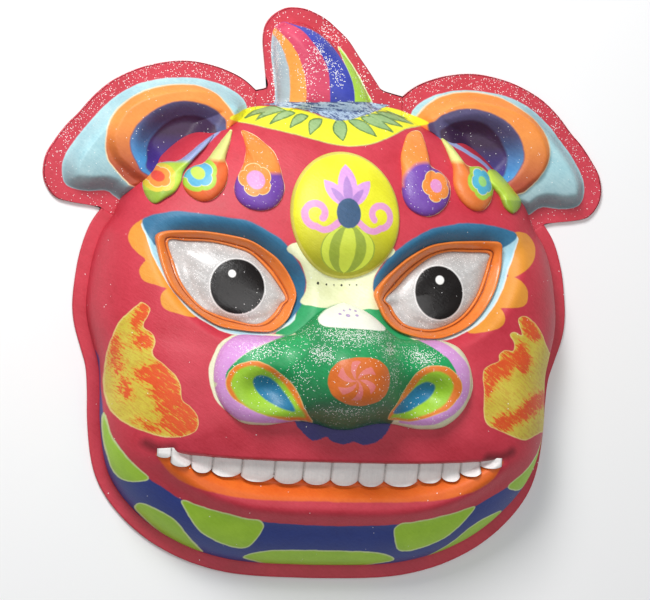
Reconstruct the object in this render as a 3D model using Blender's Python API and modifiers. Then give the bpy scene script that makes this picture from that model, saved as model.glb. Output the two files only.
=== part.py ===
"""Lion dance mask of moulded paper pulp: a hollow face with a flat rim, two ears, a horn, and raised trim.

Metres, +Z up. The mask lies face up on its flat rim: +Z points out of the face, +Y towards the horn,
and the origin is the middle of the mask's box on the surface that it rests on.
"""
import math

import bmesh
import bpy
import numpy as np
from mathutils import Vector
from mathutils.bvhtree import BVHTree

# Main sizes
WIDTH = 0.390            # ear tip to ear tip
HEIGHT = 0.387           # chin to horn tip
DOME_HEIGHT = 0.072      # crown of the face, without the nose
WALL = 0.0025            # thickness of the pulp
RIM_WIDTH = 0.009        # flat rim along the cheeks and chin

# Gaps between pieces
JOINT_GAP = 0.0004       # each side of the butt joint between two moulded pieces
SEAT_GAP = 0.0005        # glue line under a raised piece
EAR_CLEARANCE = 0.0075   # how far the edge of an ear or the horn stays above the wall of the face
SEAT_DISH = 0.0010       # how far the back of a raised piece is hollowed, so that it sits on its edge
NOSE_LAP = 0.004         # how far the face reaches in under the edge of the nose
LAP_STEP = 0.003         # how far that lap bends down

# Heights of the moulded relief
NOSE_HEIGHT = 0.045      # nose tip above the dome
NOSE_EDGE = 0.008        # step at the outline of the nose
WING_HEIGHT = 0.017
NOSTRIL_DEPTH = 0.017
SOCKET_DEPTH = 0.019
SOCKET_FADE = 0.030      # height of the dome below which a socket gets shallower
BRIDGE_DEPTH = 0.012
CHEEK_BULGE = 0.006      # how far a cheek swells out over the rim
MOUTH_DEPTH = 0.010
LIP_HEIGHT = 0.006
EAR_HEIGHT = 0.013
EAR_RING = 0.004
EAR_HOLLOW = 0.012
HORN_HEIGHT = 0.022

# How far the relief spreads in plan: across, then up and down the face
TIP_SPREAD = 0.031
TIP_SPREAD_UP = 0.036
TIP_SPREAD_DOWN = 0.030
WING_SPREAD = (0.030, 0.026)
NOSTRIL_SPREAD = (0.018, 0.012)
BRIDGE_SPREAD = (0.024, 0.020)
LIP_DROP = 0.008         # lower edge of the mouth to the crest of the lip
LIP_SPREAD = 0.008
UPPER_LIP_SLOPE = 0.003
LOWER_LIP_SLOPE = 0.011
MOUTH_END_SLOPE = 0.012
EAR_SLOPE = 0.011
RING_SLOPE = 0.006
HOLLOW_SLOPE = 0.016
HORN_SLOPE = 0.0231      # outline of the horn to its crest

# Raised pieces
EYE_REACH = 0.044        # pupil to the outer corner of the white
EYE_BULGE = 0.008
LID_HEIGHT = 0.005
NOSE_REACH = 0.088       # nose tip to the outside of a wing
BOSS_HALF_WIDTH = 0.0375
BOSS_HALF_HEIGHT = 0.0425
BOSS_HEIGHT = 0.010
DROP_HEIGHT = 0.008
TOOTH_THICKNESS = 0.004
TOOTH_LENGTH = 0.016
TOOTH_DROP = 0.0035      # upper edge of the mouth to the top of the teeth
TEETH = 14

# Shares that shape the relief
TIP_POWERS = (3.0, 2.8)  # how bluntly the nose tip ends across, and up and down
EDGE_SHARE = 0.4         # height left at the outline of the nose
EDGE_POWER = 6
SOCKET_FLOOR = 0.72      # share of the lid's outline inside which the socket is at its deepest
SOCKET_END = 1.34        # share at which it ends
LIP_END = 0.92           # share of the way to the foot at which the lower lip ends
LIP_FADE = 0.2
CORNER_POWERS = (3.0, 3.5)   # how late the upper and the lower edge of the mouth bend up to its corners
CHEEK_Y = -0.44          # level at which the cheeks swell most
CHEEK_SPREAD = 0.26
CHEEK_POWER = 8
TOOTH_SHARE = 0.5        # longest tooth where the mouth is low
TOOTH_BOW = 0.14         # how much shorter and
TOOTH_THIN = 0.25        # thinner the teeth are where two of them meet
TAIL_WAIST = 0.5         # how much narrower a drop is towards its tail
TAIL_POWER = 3

# Places, as shares of half the width and half the height
NOSE_Y = -0.285
EYE_X = 0.354
EYE_Y = 0.015
BOSS_Y = 0.275
WING_X = 0.31
WING_Y = -0.30
NOSTRIL_X = 0.285
NOSTRIL_Y = -0.325
BRIDGE_Y = 0.05
MOUTH_X = 0.605
MOUTH_TOP_Y = -0.570
MOUTH_CORNER_Y = -0.545
MOUTH_BOTTOM_Y = -0.710

# Foot of the face wall from the top of the head to the chin: x, y, and how square the section is there
HORN_FOOT = ((0.000, 0.672, 2.3), (0.120, 0.668, 2.3), (0.200, 0.655, 2.3), (0.263, 0.636, 2.3))
EAR_FOOT = ((0.263, 0.636, 2.3), (0.345, 0.605, 2.3), (0.425, 0.577, 2.3), (0.500, 0.545, 2.3),
            (0.562, 0.500, 2.3), (0.625, 0.435, 2.4), (0.672, 0.388, 2.5), (0.715, 0.335, 2.6),
            (0.752, 0.250, 2.8))
CHEEK_FOOT = ((0.752, 0.250, 2.8), (0.790, 0.190, 3.0), (0.818, 0.100, 3.2), (0.832, 0.000, 3.4),
              (0.835, -0.070, 3.6), (0.826, -0.130, 4.0), (0.804, -0.200, 5.0), (0.783, -0.270, 6.0),
              (0.774, -0.360, 7.0), (0.770, -0.460, 7.0), (0.757, -0.570, 6.0), (0.736, -0.645, 4.5),
              (0.702, -0.705, 3.6), (0.658, -0.758, 3.0), (0.604, -0.808, 2.7), (0.536, -0.855, 2.5),
              (0.450, -0.897, 2.3), (0.363, -0.925, 2.2), (0.275, -0.942, 2.1), (0.165, -0.950, 2.1),
              (0.000, -0.953, 2.1))

# Outer edge of an ear from the notch at the cheek round to the notch beside the horn: x, y
EAR_RIM = ((0.800, 0.277), (0.842, 0.282), (0.905, 0.290), (0.955, 0.305), (0.988, 0.345), (1.000, 0.393),
           (0.990, 0.453), (0.957, 0.510), (0.920, 0.560), (0.882, 0.600), (0.832, 0.660), (0.767, 0.717),
           (0.677, 0.763), (0.587, 0.788), (0.503, 0.796), (0.417, 0.784), (0.347, 0.761), (0.300, 0.736),
           (0.263, 0.705))

# Outer edge of the horn from the left notch to the right one: x, y
HORN_RIM = ((-0.263, 0.705), (-0.223, 0.719), (-0.230, 0.760), (-0.236, 0.807), (-0.244, 0.880),
            (-0.238, 0.930), (-0.216, 0.965), (-0.180, 0.991), (-0.147, 1.000), (-0.097, 0.997),
            (-0.053, 0.981), (-0.016, 0.961), (0.021, 0.931), (0.062, 0.893), (0.099, 0.842), (0.137, 0.791),
            (0.168, 0.747), (0.190, 0.724), (0.263, 0.705))

# Raised outlines on an ear and on the horn: x, y
EAR_BODY = ((0.290, 0.640), (0.320, 0.685), (0.380, 0.718), (0.460, 0.738), (0.555, 0.738), (0.645, 0.722),
            (0.720, 0.690), (0.790, 0.635), (0.845, 0.572), (0.900, 0.500), (0.935, 0.430), (0.935, 0.370),
            (0.910, 0.338), (0.850, 0.326), (0.780, 0.330), (0.700, 0.300), (0.500, 0.400), (0.300, 0.560))
EAR_RING_OUTER = ((0.325, 0.620), (0.360, 0.663), (0.415, 0.698), (0.490, 0.717), (0.590, 0.703),
                  (0.680, 0.673), (0.745, 0.627), (0.782, 0.565), (0.795, 0.505), (0.772, 0.440),
                  (0.735, 0.405), (0.690, 0.370), (0.600, 0.350), (0.400, 0.480))
EAR_RING_INNER = ((0.385, 0.608), (0.420, 0.638), (0.490, 0.658), (0.555, 0.653), (0.625, 0.622),
                  (0.680, 0.572), (0.705, 0.520), (0.700, 0.475), (0.670, 0.430), (0.600, 0.380), (0.480, 0.450))
HORN_BODY = ((-0.180, 0.600), (-0.188, 0.680), (-0.194, 0.740), (-0.206, 0.820), (-0.208, 0.880),
             (-0.200, 0.922), (-0.173, 0.940), (-0.130, 0.946), (-0.090, 0.937), (-0.039, 0.911),
             (0.012, 0.867), (0.061, 0.820), (0.099, 0.762), (0.135, 0.690), (0.150, 0.600))

# Outline of an eye round its pupil: angle from the outer side in degrees, then the white and the lid
EYE_OUTLINE = ((0, 0.72, 0.92), (35, 1.00, 1.20), (60, 0.71, 0.93), (90, 0.58, 0.76), (120, 0.53, 0.71),
               (150, 0.55, 0.76), (180, 0.69, 0.89), (205, 0.73, 0.88), (240, 0.61, 0.72), (270, 0.52, 0.655),
               (300, 0.505, 0.665), (330, 0.575, 0.735))

# Outline of the nose round its tip: angle from the right in degrees, and reach
NOSE_OUTLINE = ((-90, 0.39), (-60, 0.405), (-42, 0.50), (-31, 0.72), (-24, 0.86), (-12, 0.97), (0, 1.00),
                (12, 0.965), (20, 0.865), (26, 0.69), (34, 0.545), (45, 0.50), (60, 0.51), (90, 0.57))

# Teardrop bosses: middle x and y, half width, tip of the tail x and y
DROPS = ((0.292, 0.350, 0.080, 0.335, 0.525), (0.460, 0.370, 0.067, 0.390, 0.520),
         (0.592, 0.360, 0.048, 0.480, 0.495))

# Facets
HORN_SPOKES = 4
EAR_SPOKES = 10
CHEEK_SPOKES = 22
RINGS_TO_MOUTH = 3
RINGS_IN_MOUTH = 2
RINGS_TO_FOOT = 8
EAR_GRID = (18, 8)
HORN_GRID = (16, 7)
EVEN_RINGS = (0.30, 0.48)    # where the two rings of the mouth stand on a spoke that misses it
RING_EASE = 40               # degrees over which they get there
FOOT_CROWDING = 1.35         # how much closer the rings stand at the foot of the wall
NOSE_RINGS = 6
NOSE_CROWDING = 0.8
EYE_FACETS = (18, 8)
LID_FACETS = (24, 6)
BOSS_FACETS = (20, 8)
DROP_FACETS = (16, 6)
COLUMNS_PER_TOOTH = 3
TOOTH_ROWS = 2
FINE_FOOT = (12, 24, 60)     # steps of the foot line that the heights are measured from
FINE_OUTLINE = 60
CURVE_STEPS = 24
SEAT_PROBE = 0.005           # how far round a point the facets of the face are looked at


def place(x, y):
    """A place on the mask from shares of half the width and half the height."""
    return np.stack([np.asarray(x) * WIDTH / 2, np.asarray(y) * HEIGHT / 2], axis=-1)


def curve_through(points, count):
    """Even steps along the smooth curve through the points.

    Each stretch between two points is a Catmull-Rom cubic, whose slope at a point is half the step
    from the point before it to the point after it.
    """
    points = np.asarray(points, float)
    ends = np.vstack([2 * points[0] - points[1], points, 2 * points[-1] - points[-2]])
    t = np.linspace(0, 1, CURVE_STEPS + 1)[:-1, None, None]
    before, start, end, after = ends[:-3], ends[1:-2], ends[2:-1], ends[3:]
    fine = 0.5 * (2 * start + (end - before) * t + (2 * before - 5 * start + 4 * end - after) * t ** 2
                  + (3 * start - before - 3 * end + after) * t ** 3)
    fine = np.vstack([fine.transpose(1, 0, 2).reshape(-1, points.shape[1]), points[-1:]])
    length = np.concatenate([[0], np.cumsum(np.linalg.norm(np.diff(fine[:, :2], axis=0), axis=1))])
    steps = np.linspace(0, length[-1], count)
    return np.stack([np.interp(steps, length, column) for column in fine.T], axis=-1)


def table_curve(table, count):
    """Even steps along the curve through a table of places; a third column is carried along unchanged."""
    rows = np.array(table, float)
    rows[:, 0] *= WIDTH / 2
    rows[:, 1] *= HEIGHT / 2
    return curve_through(rows, count)


def polar_reach(table, column, angle):
    """Reach of a closed outline in a direction, easing from row to row of its table."""
    rows = np.array(table, float)
    turned = np.degrees(angle)
    start = rows[0, 0]
    turned = (turned - start) % 360 + start
    knots = np.append(rows[:, 0], start + 360)
    reach = np.append(rows[:, column], rows[0, column])
    slope = np.gradient(np.concatenate([reach[-2:-1], reach, reach[1:2]]),
                        np.concatenate([[knots[-2] - 360], knots, [knots[1] + 360]]))[1:-1]
    row = np.clip(np.searchsorted(knots, turned, side="right") - 1, 0, len(knots) - 2)
    width = knots[row + 1] - knots[row]
    t = (turned - knots[row]) / width
    return ((2 * t ** 3 - 3 * t ** 2 + 1) * reach[row] + (t ** 3 - 2 * t ** 2 + t) * width * slope[row]
            + (3 * t ** 2 - 2 * t ** 3) * reach[row + 1] + (t ** 3 - t ** 2) * width * slope[row + 1])


def depth_inside(points, outline):
    """Distance from each point to a closed outline, positive inside it."""
    start = outline
    step = np.roll(outline, -1, axis=0) - start
    away = points[..., None, :] - start
    share = np.clip((away * step).sum(-1) / (step ** 2).sum(-1), 0, 1)
    gap = np.linalg.norm(away - share[..., None] * step, axis=-1).min(-1)
    above = start[:, 1] > points[..., None, 1]
    above_next = np.roll(start[:, 1], -1) > points[..., None, 1]
    rise = np.where(step[:, 1] == 0, 1, step[:, 1])
    crossing = start[:, 0] + (points[..., None, 1] - start[:, 1]) * step[:, 0] / rise
    inside = ((above != above_next) & (points[..., None, 0] < crossing)).sum(-1) % 2 == 1
    return np.where(inside, gap, -gap)


def ease(value):
    """0 below 0, 1 above 1, and a smooth S between them."""
    t = np.clip(value, 0, 1)
    return t * t * (3 - 2 * t)


def swell(points, centre, spread):
    """A round bump of height 1: e to the minus squared distance, counted in spreads."""
    offset = (points - centre) / np.array(spread)
    return np.exp(-(offset ** 2).sum(-1))


# The face: dome, sockets, bridge, mouth and lip
NOSE_CENTRE = place(0, NOSE_Y)


def foot_line(spokes=(HORN_SPOKES, EAR_SPOKES, CHEEK_SPOKES)):
    """Foot of the right half of the wall, top to chin, with squareness in the third column."""
    tables = (HORN_FOOT, EAR_FOOT, CHEEK_FOOT)
    parts = [table_curve(table, count + 1) for table, count in zip(tables, spokes)]
    return np.vstack([parts[0], parts[1][1:], parts[2][1:]])


def mirrored(line):
    """A closed outline from its right half: the half, then its mirror image without the two shared ends."""
    left = line[-2:0:-1] * np.where(np.arange(line.shape[1]) == 0, -1, 1)
    return np.vstack([line, left])


FOOT = mirrored(foot_line(FINE_FOOT))
FOOT_ANGLE = np.arctan2(FOOT[:, 1] - NOSE_CENTRE[1], FOOT[:, 0] - NOSE_CENTRE[0])
FOOT_ORDER = np.argsort(FOOT_ANGLE)


def foot_reach(points):
    """Share of the way from the nose tip to the foot of the wall, and the squareness in that direction."""
    offset = points - NOSE_CENTRE
    angle = np.arctan2(offset[..., 1], offset[..., 0])
    known = FOOT_ANGLE[FOOT_ORDER]
    reach = np.linalg.norm(FOOT[FOOT_ORDER, :2] - NOSE_CENTRE, axis=1)
    foot = np.interp(angle, known, reach, period=2 * math.pi)
    square = np.interp(angle, known, FOOT[FOOT_ORDER, 2], period=2 * math.pi)
    return np.linalg.norm(offset, axis=-1) / foot, square


def eye_share(points, side):
    """Distance from the pupil, as a share of the reach of the white and of the lid in that direction."""
    offset = (points - place(side * EYE_X, EYE_Y)) * np.array([side, 1])
    angle = np.arctan2(offset[..., 1], offset[..., 0])
    distance = np.linalg.norm(offset, axis=-1) / EYE_REACH
    return distance / polar_reach(EYE_OUTLINE, 1, angle), distance / polar_reach(EYE_OUTLINE, 2, angle)


def mouth_lines(x):
    """Upper and lower edge of the mouth at x: both bend up to meet at the corners."""
    share = np.clip(np.abs(x) / (MOUTH_X * WIDTH / 2), 0, 1)
    corner = MOUTH_CORNER_Y * HEIGHT / 2
    top = MOUTH_TOP_Y * HEIGHT / 2
    bottom = MOUTH_BOTTOM_Y * HEIGHT / 2
    return (top + (corner - top) * share ** CORNER_POWERS[0],
            bottom + (corner - bottom) * share ** CORNER_POWERS[1])


def mouth_recess(points):
    """1 on the floor of the mouth, 0 outside it: a sharp upper edge, a sloping lower one."""
    top, bottom = mouth_lines(points[..., 0])
    upper = ease((top - points[..., 1]) / UPPER_LIP_SLOPE)
    lower = ease((points[..., 1] - bottom) / LOWER_LIP_SLOPE)
    ends = ease((MOUTH_X * WIDTH / 2 - np.abs(points[..., 0])) / MOUTH_END_SLOPE)
    return upper * lower * ends


def face_height(points):
    """Height of the face: a dome with sunk sockets, a low bridge, a mouth and a full lower lip."""
    share, square = foot_reach(points)
    height = DOME_HEIGHT * np.sqrt(np.clip(1 - np.clip(share, 0, 1) ** square, 0, 1))
    for side in (-1, 1):
        lid = eye_share(points, side)[1]
        socket = 1 - ease((lid - SOCKET_FLOOR) / (SOCKET_END - SOCKET_FLOOR))
        height = height - SOCKET_DEPTH * socket * ease(height / SOCKET_FADE)
    height = height - BRIDGE_DEPTH * swell(points, place(0, BRIDGE_Y), BRIDGE_SPREAD)
    height = height - MOUTH_DEPTH * mouth_recess(points)
    bottom = mouth_lines(points[..., 0])[1]
    lip = np.exp(-((points[..., 1] - bottom + LIP_DROP) / LIP_SPREAD) ** 2)
    return height + LIP_HEIGHT * lip * ease((LIP_END - share) / LIP_FADE)


def nose_share(points):
    """Distance from the nose tip as a share of the outline's reach in that direction."""
    offset = points - NOSE_CENTRE
    angle = np.arctan2(offset[..., 1], np.abs(offset[..., 0]))
    return np.linalg.norm(offset, axis=-1) / (NOSE_REACH * half_reach(NOSE_OUTLINE, angle))


def half_reach(table, angle):
    """Reach of a symmetric outline whose table runs from straight down to straight up."""
    rows = np.array(table, float)
    return np.interp(np.degrees(angle), rows[:, 0], rows[:, 1])


def nose_height(points):
    """Height of the nose: the dome with a bulb at the tip, two round wings, and a pit for each nostril."""
    round_edge = np.sqrt(np.clip(1 - np.clip(nose_share(points), 0, 1) ** EDGE_POWER, 0, 1))
    edge = EDGE_SHARE + (1 - EDGE_SHARE) * round_edge
    offset = points - NOSE_CENTRE
    rise = np.where(offset[..., 1] > 0, TIP_SPREAD_UP, TIP_SPREAD_DOWN)
    bulb = np.exp(-(np.abs(offset[..., 0] / TIP_SPREAD) ** TIP_POWERS[0]
                    + np.abs(offset[..., 1] / rise) ** TIP_POWERS[1]))
    height = NOSE_EDGE + (NOSE_HEIGHT - NOSE_EDGE) * bulb
    for side in (-1, 1):
        height = height + WING_HEIGHT * swell(points, place(side * WING_X, WING_Y), WING_SPREAD)
        pit = swell(points, place(side * NOSTRIL_X, NOSTRIL_Y), NOSTRIL_SPREAD)
        height = height - NOSTRIL_DEPTH * pit
    return face_height(points) + height * edge


def cheek_bulge(points, height):
    """How far the wall swells outwards, most at half the dome's height beside the lower cheeks."""
    level = np.exp(-((points[..., 1] / (HEIGHT / 2) - CHEEK_Y) / CHEEK_SPREAD) ** 2)
    upright = np.sin(math.pi * np.clip(height / DOME_HEIGHT, 0, 1))
    return CHEEK_BULGE * level * upright * np.clip(foot_reach(points)[0], 0, 1) ** CHEEK_POWER


def on_face(points, height):
    """Points in space from places and heights, with the cheeks swollen outwards."""
    bulge = cheek_bulge(points, height)
    flat = points + np.stack([np.sign(points[..., 0]) * bulge, np.zeros_like(bulge)], axis=-1)
    return np.concatenate([flat, height[..., None]], axis=-1)


# Meshes and objects
def material(name, colour, roughness):
    """A painted surface with a plain colour."""
    made = bpy.data.materials.new(name)
    made.use_nodes = True
    shader = made.node_tree.nodes["Principled BSDF"]
    shader.inputs["Base Color"].default_value = (*colour, 1)
    shader.inputs["Roughness"].default_value = roughness
    shader.inputs["Metallic"].default_value = 0
    made.diffuse_color = (*colour, 1)
    return made


def object_from(name, mesh_edit, painted):
    """A named object in the mask's collection from a bmesh."""
    mesh = bpy.data.meshes.new(name)
    mesh_edit.to_mesh(mesh)
    mesh_edit.free()
    mesh.shade_smooth()
    mesh.materials.append(painted)
    made = bpy.data.objects.new(name, mesh)
    MASK.objects.link(made)
    return made


def sheet(name, surface, painted, closed=False, drop=None):
    """An open wall: a grid whose points are moved onto the surface, made WALL thick on its hidden side.

    The grid's columns run clockwise seen from the front and its rows run outwards. A closed
    grid joins its last column to its first, and drop marks the cells that are left out. The wall's
    underside is made flat where it rests.
    """
    rows, columns = surface.shape[:2]
    grid = bmesh.new()
    bmesh.ops.create_grid(grid, x_segments=columns - 1, y_segments=rows - 1, size=1)
    grid.verts.ensure_lookup_table()
    for vertex, point in zip(grid.verts, surface.reshape(-1, 3)):
        vertex.co = point
    if drop is not None:
        grid.faces.ensure_lookup_table()
        unused = [face for face, out in zip(grid.faces, drop.reshape(-1)) if out]
        bmesh.ops.delete(grid, geom=unused, context="FACES")
    if closed:
        bmesh.ops.remove_doubles(grid, verts=grid.verts, dist=1e-6)
    bmesh.ops.triangulate(grid, faces=grid.faces)
    made = object_from(name, grid, painted)
    wall = made.modifiers.new("wall", "SOLIDIFY")
    wall.thickness = WALL
    wall.offset = -1
    wall.use_even_offset = True
    solid = bpy.data.meshes.new_from_object(made.evaluated_get(bpy.context.evaluated_depsgraph_get()))
    made.modifiers.remove(wall)
    made.data = solid
    points = np.array([vertex.co for vertex in solid.vertices])
    points[:, 2] = np.where(points[:, 2] < WALL / 2, 0, points[:, 2])
    solid.vertices.foreach_set("co", points.ravel())
    return made


def spokes():
    """Foot of the wall at each spoke, the way there from the nose tip, and where the spoke leaves the nose."""
    foot = mirrored(foot_line())
    offset = foot[:, :2] - NOSE_CENTRE
    angle = np.arctan2(offset[:, 1], np.abs(offset[:, 0]))
    return foot, offset, NOSE_REACH * half_reach(NOSE_OUTLINE, angle) / np.linalg.norm(offset, axis=1)


def mouth_crossing(offset, line):
    """Share of each spoke at which it crosses the mouth's upper (0) or lower (1) edge, or not a number."""
    down = np.where(offset[:, 1] < 0, offset[:, 1], -1e-9)
    share = np.full(len(offset), 0.5)
    for _ in range(30):
        x = NOSE_CENTRE[0] + share * offset[:, 0]
        share = (mouth_lines(x)[line] - NOSE_CENTRE[1]) / down
    inside = np.abs(share * offset[:, 0]) < MOUTH_X * WIDTH / 2
    return np.where((offset[:, 1] < 0) & inside, share, np.nan)


def ring_shares(offset, nose):
    """Shares of each spoke at which the rings stand: rings lie on both edges of the mouth where it is crossed.

    Away from the mouth the same rings ease into even steps from the nose to the foot.
    """
    turn = np.abs(np.arctan2(offset[:, 0], -offset[:, 1]))
    rings = []
    for line, even in enumerate(EVEN_RINGS):
        crossing = mouth_crossing(offset, line)
        known = np.isfinite(crossing)
        plain = nose + (1 - nose) * even
        last = turn[known].max()
        fade = ease((turn - last) / math.radians(RING_EASE))
        held = crossing[known][np.argmax(turn[known])]
        rings.append(np.where(known, np.nan_to_num(crossing), held + (plain - held) * fade))
    upper, lower = rings
    lip_edge = UPPER_LIP_SLOPE / np.linalg.norm(offset, axis=1)
    steps = [nose + (upper - nose) * share for share in np.linspace(0, 1, RINGS_TO_MOUTH + 1)]
    floor = upper + lip_edge
    lower = np.maximum(lower, floor + 2 * lip_edge)
    steps += [floor + (lower - floor) * share for share in np.linspace(0, 1, RINGS_IN_MOUTH + 1)]
    even = np.linspace(0, 1, RINGS_TO_FOOT + 1)[1:]
    steps += [lower + (1 - lower) * (1 - (1 - share) ** FOOT_CROWDING) for share in even]
    return np.array(steps)


def build_face():
    """The face from under the edge of the nose to the foot of the wall, with the rim along cheeks and chin."""
    foot, offset, nose = spokes()
    lap = nose - NOSE_LAP / np.linalg.norm(offset, axis=1)
    share = np.vstack([lap, ring_shares(offset, nose)])
    points = NOSE_CENTRE + share[..., None] * offset
    height = face_height(points)
    height[0] -= LAP_STEP
    cheek = np.arange(len(foot)) >= HORN_SPOKES + EAR_SPOKES
    cheek &= np.arange(len(foot)) <= len(foot) - HORN_SPOKES - EAR_SPOKES
    height[-1] = np.where(cheek, WALL, 0)
    surface = on_face(points, height)
    along = np.roll(foot[:, :2], -1, axis=0) - np.roll(foot[:, :2], 1, axis=0)
    outward = np.stack([-along[:, 1], along[:, 0]], axis=-1) / np.linalg.norm(along, axis=1)[:, None]
    rim = np.concatenate([foot[:, :2] + RIM_WIDTH * outward, np.full((len(foot), 1), WALL)], axis=1)
    surface = np.concatenate([surface, rim[None]])
    surface = np.concatenate([surface, surface[:, :1]], axis=1)
    drop = np.zeros((len(surface) - 1, len(foot)), bool)
    both = cheek & np.roll(cheek, -1)
    drop[-1] = ~both
    return sheet("face_shell", surface, RED, closed=True, drop=drop)


def trimmed(line, gap):
    """A line whose two ends are drawn back along it."""
    line = line.copy()
    for end, before in ((0, 1), (-1, -2)):
        step = line[before] - line[end]
        line[end] += gap * step / np.linalg.norm(step[:2])
    return line


def wall_share(height, square):
    """Where the wall beside an ear or the horn reaches a height, as a share of the way to its foot."""
    return np.clip(1 - (np.clip(height, 0, None) / DOME_HEIGHT) ** 2, 0, 1) ** (1 / square)


def beside_face(foot, rim, relief, grid):
    """A sheet from the wall of the face out to a rim: straight lines join equal shares of both edges.

    Its inner edge lies on the wall at its own height, which takes three rounds to settle.
    """
    share = np.linspace(0, 1, grid[1] + 1)[:, None, None]
    offset = foot[:, :2] - NOSE_CENTRE
    direction = offset / np.linalg.norm(offset, axis=1)[:, None]
    inner = foot[:, :2]
    for _ in range(3):
        reached = wall_share(WALL + relief(inner) - EAR_CLEARANCE, foot[:, 2])
        inner = NOSE_CENTRE + reached[:, None] * offset + 2 * JOINT_GAP * direction
    points = inner * (1 - share) + rim * share
    return np.concatenate([points, (WALL + relief(points))[..., None]], axis=-1)


def ear_relief(points):
    """Height of an ear above its rim: a broad band, a raised ring and the hollow inside it."""
    body, outer, inner = (table_curve(table + table[:1], FINE_OUTLINE)[:-1] for table in
                          (EAR_BODY, EAR_RING_OUTER, EAR_RING_INNER))
    height = EAR_HEIGHT * ease(depth_inside(points, body) / EAR_SLOPE)
    height = height + EAR_RING * ease(depth_inside(points, outer) / RING_SLOPE)
    return height - EAR_HOLLOW * ease(depth_inside(points, inner) / HOLLOW_SLOPE)


def horn_relief(points):
    """Height of the horn above its rim: a round section."""
    body = table_curve(HORN_BODY + HORN_BODY[:1], FINE_OUTLINE)[:-1]
    depth = np.clip(depth_inside(points, body) / HORN_SLOPE, 0, 1)
    return HORN_HEIGHT * np.sqrt(1 - (1 - depth) ** 2)


def build_ear(name, side):
    """One ear with its rim, from the wall of the face outwards."""
    foot = trimmed(table_curve(EAR_FOOT, EAR_GRID[0] + 1)[::-1], 2 * JOINT_GAP)
    rim = trimmed(table_curve(EAR_RIM, EAR_GRID[0] + 1), 2 * JOINT_GAP)
    surface = beside_face(foot, rim, ear_relief, EAR_GRID)
    surface = surface * np.array([side, 1, 1])
    if side > 0:
        return sheet(name, surface[:, ::-1], RED)
    return sheet(name, surface, RED)


def build_horn():
    """The horn with its rim, from the wall of the face outwards."""
    half = table_curve(HORN_FOOT, HORN_GRID[0] // 2 + 1)
    foot = np.vstack([half[:0:-1] * np.array([-1, 1, 1]), half])
    rim = table_curve(HORN_RIM, HORN_GRID[0] + 1)
    surface = beside_face(foot, rim, horn_relief, HORN_GRID)
    return sheet("horn", surface, BLUE)


def build_nose():
    """The nose, a hollow cap whose edge stands on the face, spoke on spoke."""
    offset, nose = spokes()[1:]
    edge = NOSE_CENTRE + nose[:, None] * offset
    step = np.linspace(0, 1, NOSE_RINGS + 1)[1:, None, None] ** NOSE_CROWDING
    points = NOSE_CENTRE + step * (edge - NOSE_CENTRE)
    surface = np.concatenate([points, nose_height(points)[..., None]], axis=-1)
    foot = np.concatenate([edge, (face_height(edge) + SEAT_GAP)[:, None]], axis=-1)
    tip = np.broadcast_to(np.append(NOSE_CENTRE, nose_height(NOSE_CENTRE)), foot.shape)
    surface = np.concatenate([tip[None], surface, foot[None]])
    surface = np.concatenate([surface, surface[:, :1]], axis=1)
    return sheet("nose", surface, GREEN, closed=True)


# Pieces glued on the face
def seat_tree():
    """The built face as triangles, to find what a piece is seated on."""
    depsgraph = bpy.context.evaluated_depsgraph_get()
    return BVHTree.FromObject(FACE, depsgraph)


def facet_height(points):
    """Height of the built face under each point, 0 over the opening for the nose."""
    hits = [SEAT_TREE.ray_cast(Vector((x, y, 1)), Vector((0, 0, -1)))[0] for x, y in points]
    return np.array([0 if hit is None else hit.z for hit in hits])


def seat(points):
    """Height of the seat under each point, and the face's smooth normal there.

    The seat is the smooth face, raised by as much as any facet of the built face close by stands above it.
    """
    excess = np.zeros(len(points))
    for turn in np.linspace(0, 2 * math.pi, 9):
        reach = 0 if turn == 0 else SEAT_PROBE
        near = points + reach * np.array([math.cos(turn), math.sin(turn)])
        excess = np.maximum(excess, facet_height(near) - face_height(near))
    small = WALL
    slope_x = (face_height(points + [small, 0]) - face_height(points - [small, 0])) / (2 * small)
    slope_y = (face_height(points + [0, small]) - face_height(points - [0, small])) / (2 * small)
    normal = np.stack([-slope_x, -slope_y, np.ones(len(points))], axis=-1)
    return face_height(points) + excess, normal / np.linalg.norm(normal, axis=1)[:, None]


def seated(mesh_edit, points, rise, name, painted):
    """Moves a primitive's points onto the face: places in plan, and how far each stands off its seat."""
    height, normal = seat(points)
    base = np.concatenate([points, height[:, None]], axis=1)
    placed = base + normal * (SEAT_GAP + rise)[:, None]
    for vertex, point in zip(mesh_edit.verts, placed):
        vertex.co = point
    return object_from(name, mesh_edit, painted)


def pad(name, outline, height, facets, painted, square=2.0, dish=SEAT_DISH, lift=0):
    """A lens on the face: a sphere whose upper half rises over the outline and whose lower half is its seat.

    The outline is a function from an angle to the middle and the edge of the lens in that direction.
    A point at a share q of the way out stands height times (1 - q ** square) ** (1 / 2) off its seat.
    """
    ball = bmesh.new()
    bmesh.ops.create_uvsphere(ball, u_segments=facets[0], v_segments=facets[1], radius=1)
    unit = np.array([vertex.co for vertex in ball.verts])
    share = 1 - 2 * np.arcsin(np.clip(np.abs(unit[:, 2]), 0, 1)) / math.pi
    angle = np.arctan2(unit[:, 1], unit[:, 0])
    middle, edge = outline(angle)
    points = middle + share[:, None] * (edge - middle)
    top = height * np.sqrt(np.clip(1 - share ** square, 0, 1))
    back = dish * (1 - share ** 2)
    return seated(ball, points, lift + np.where(unit[:, 2] > 0, top, back), name, painted)


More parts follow.
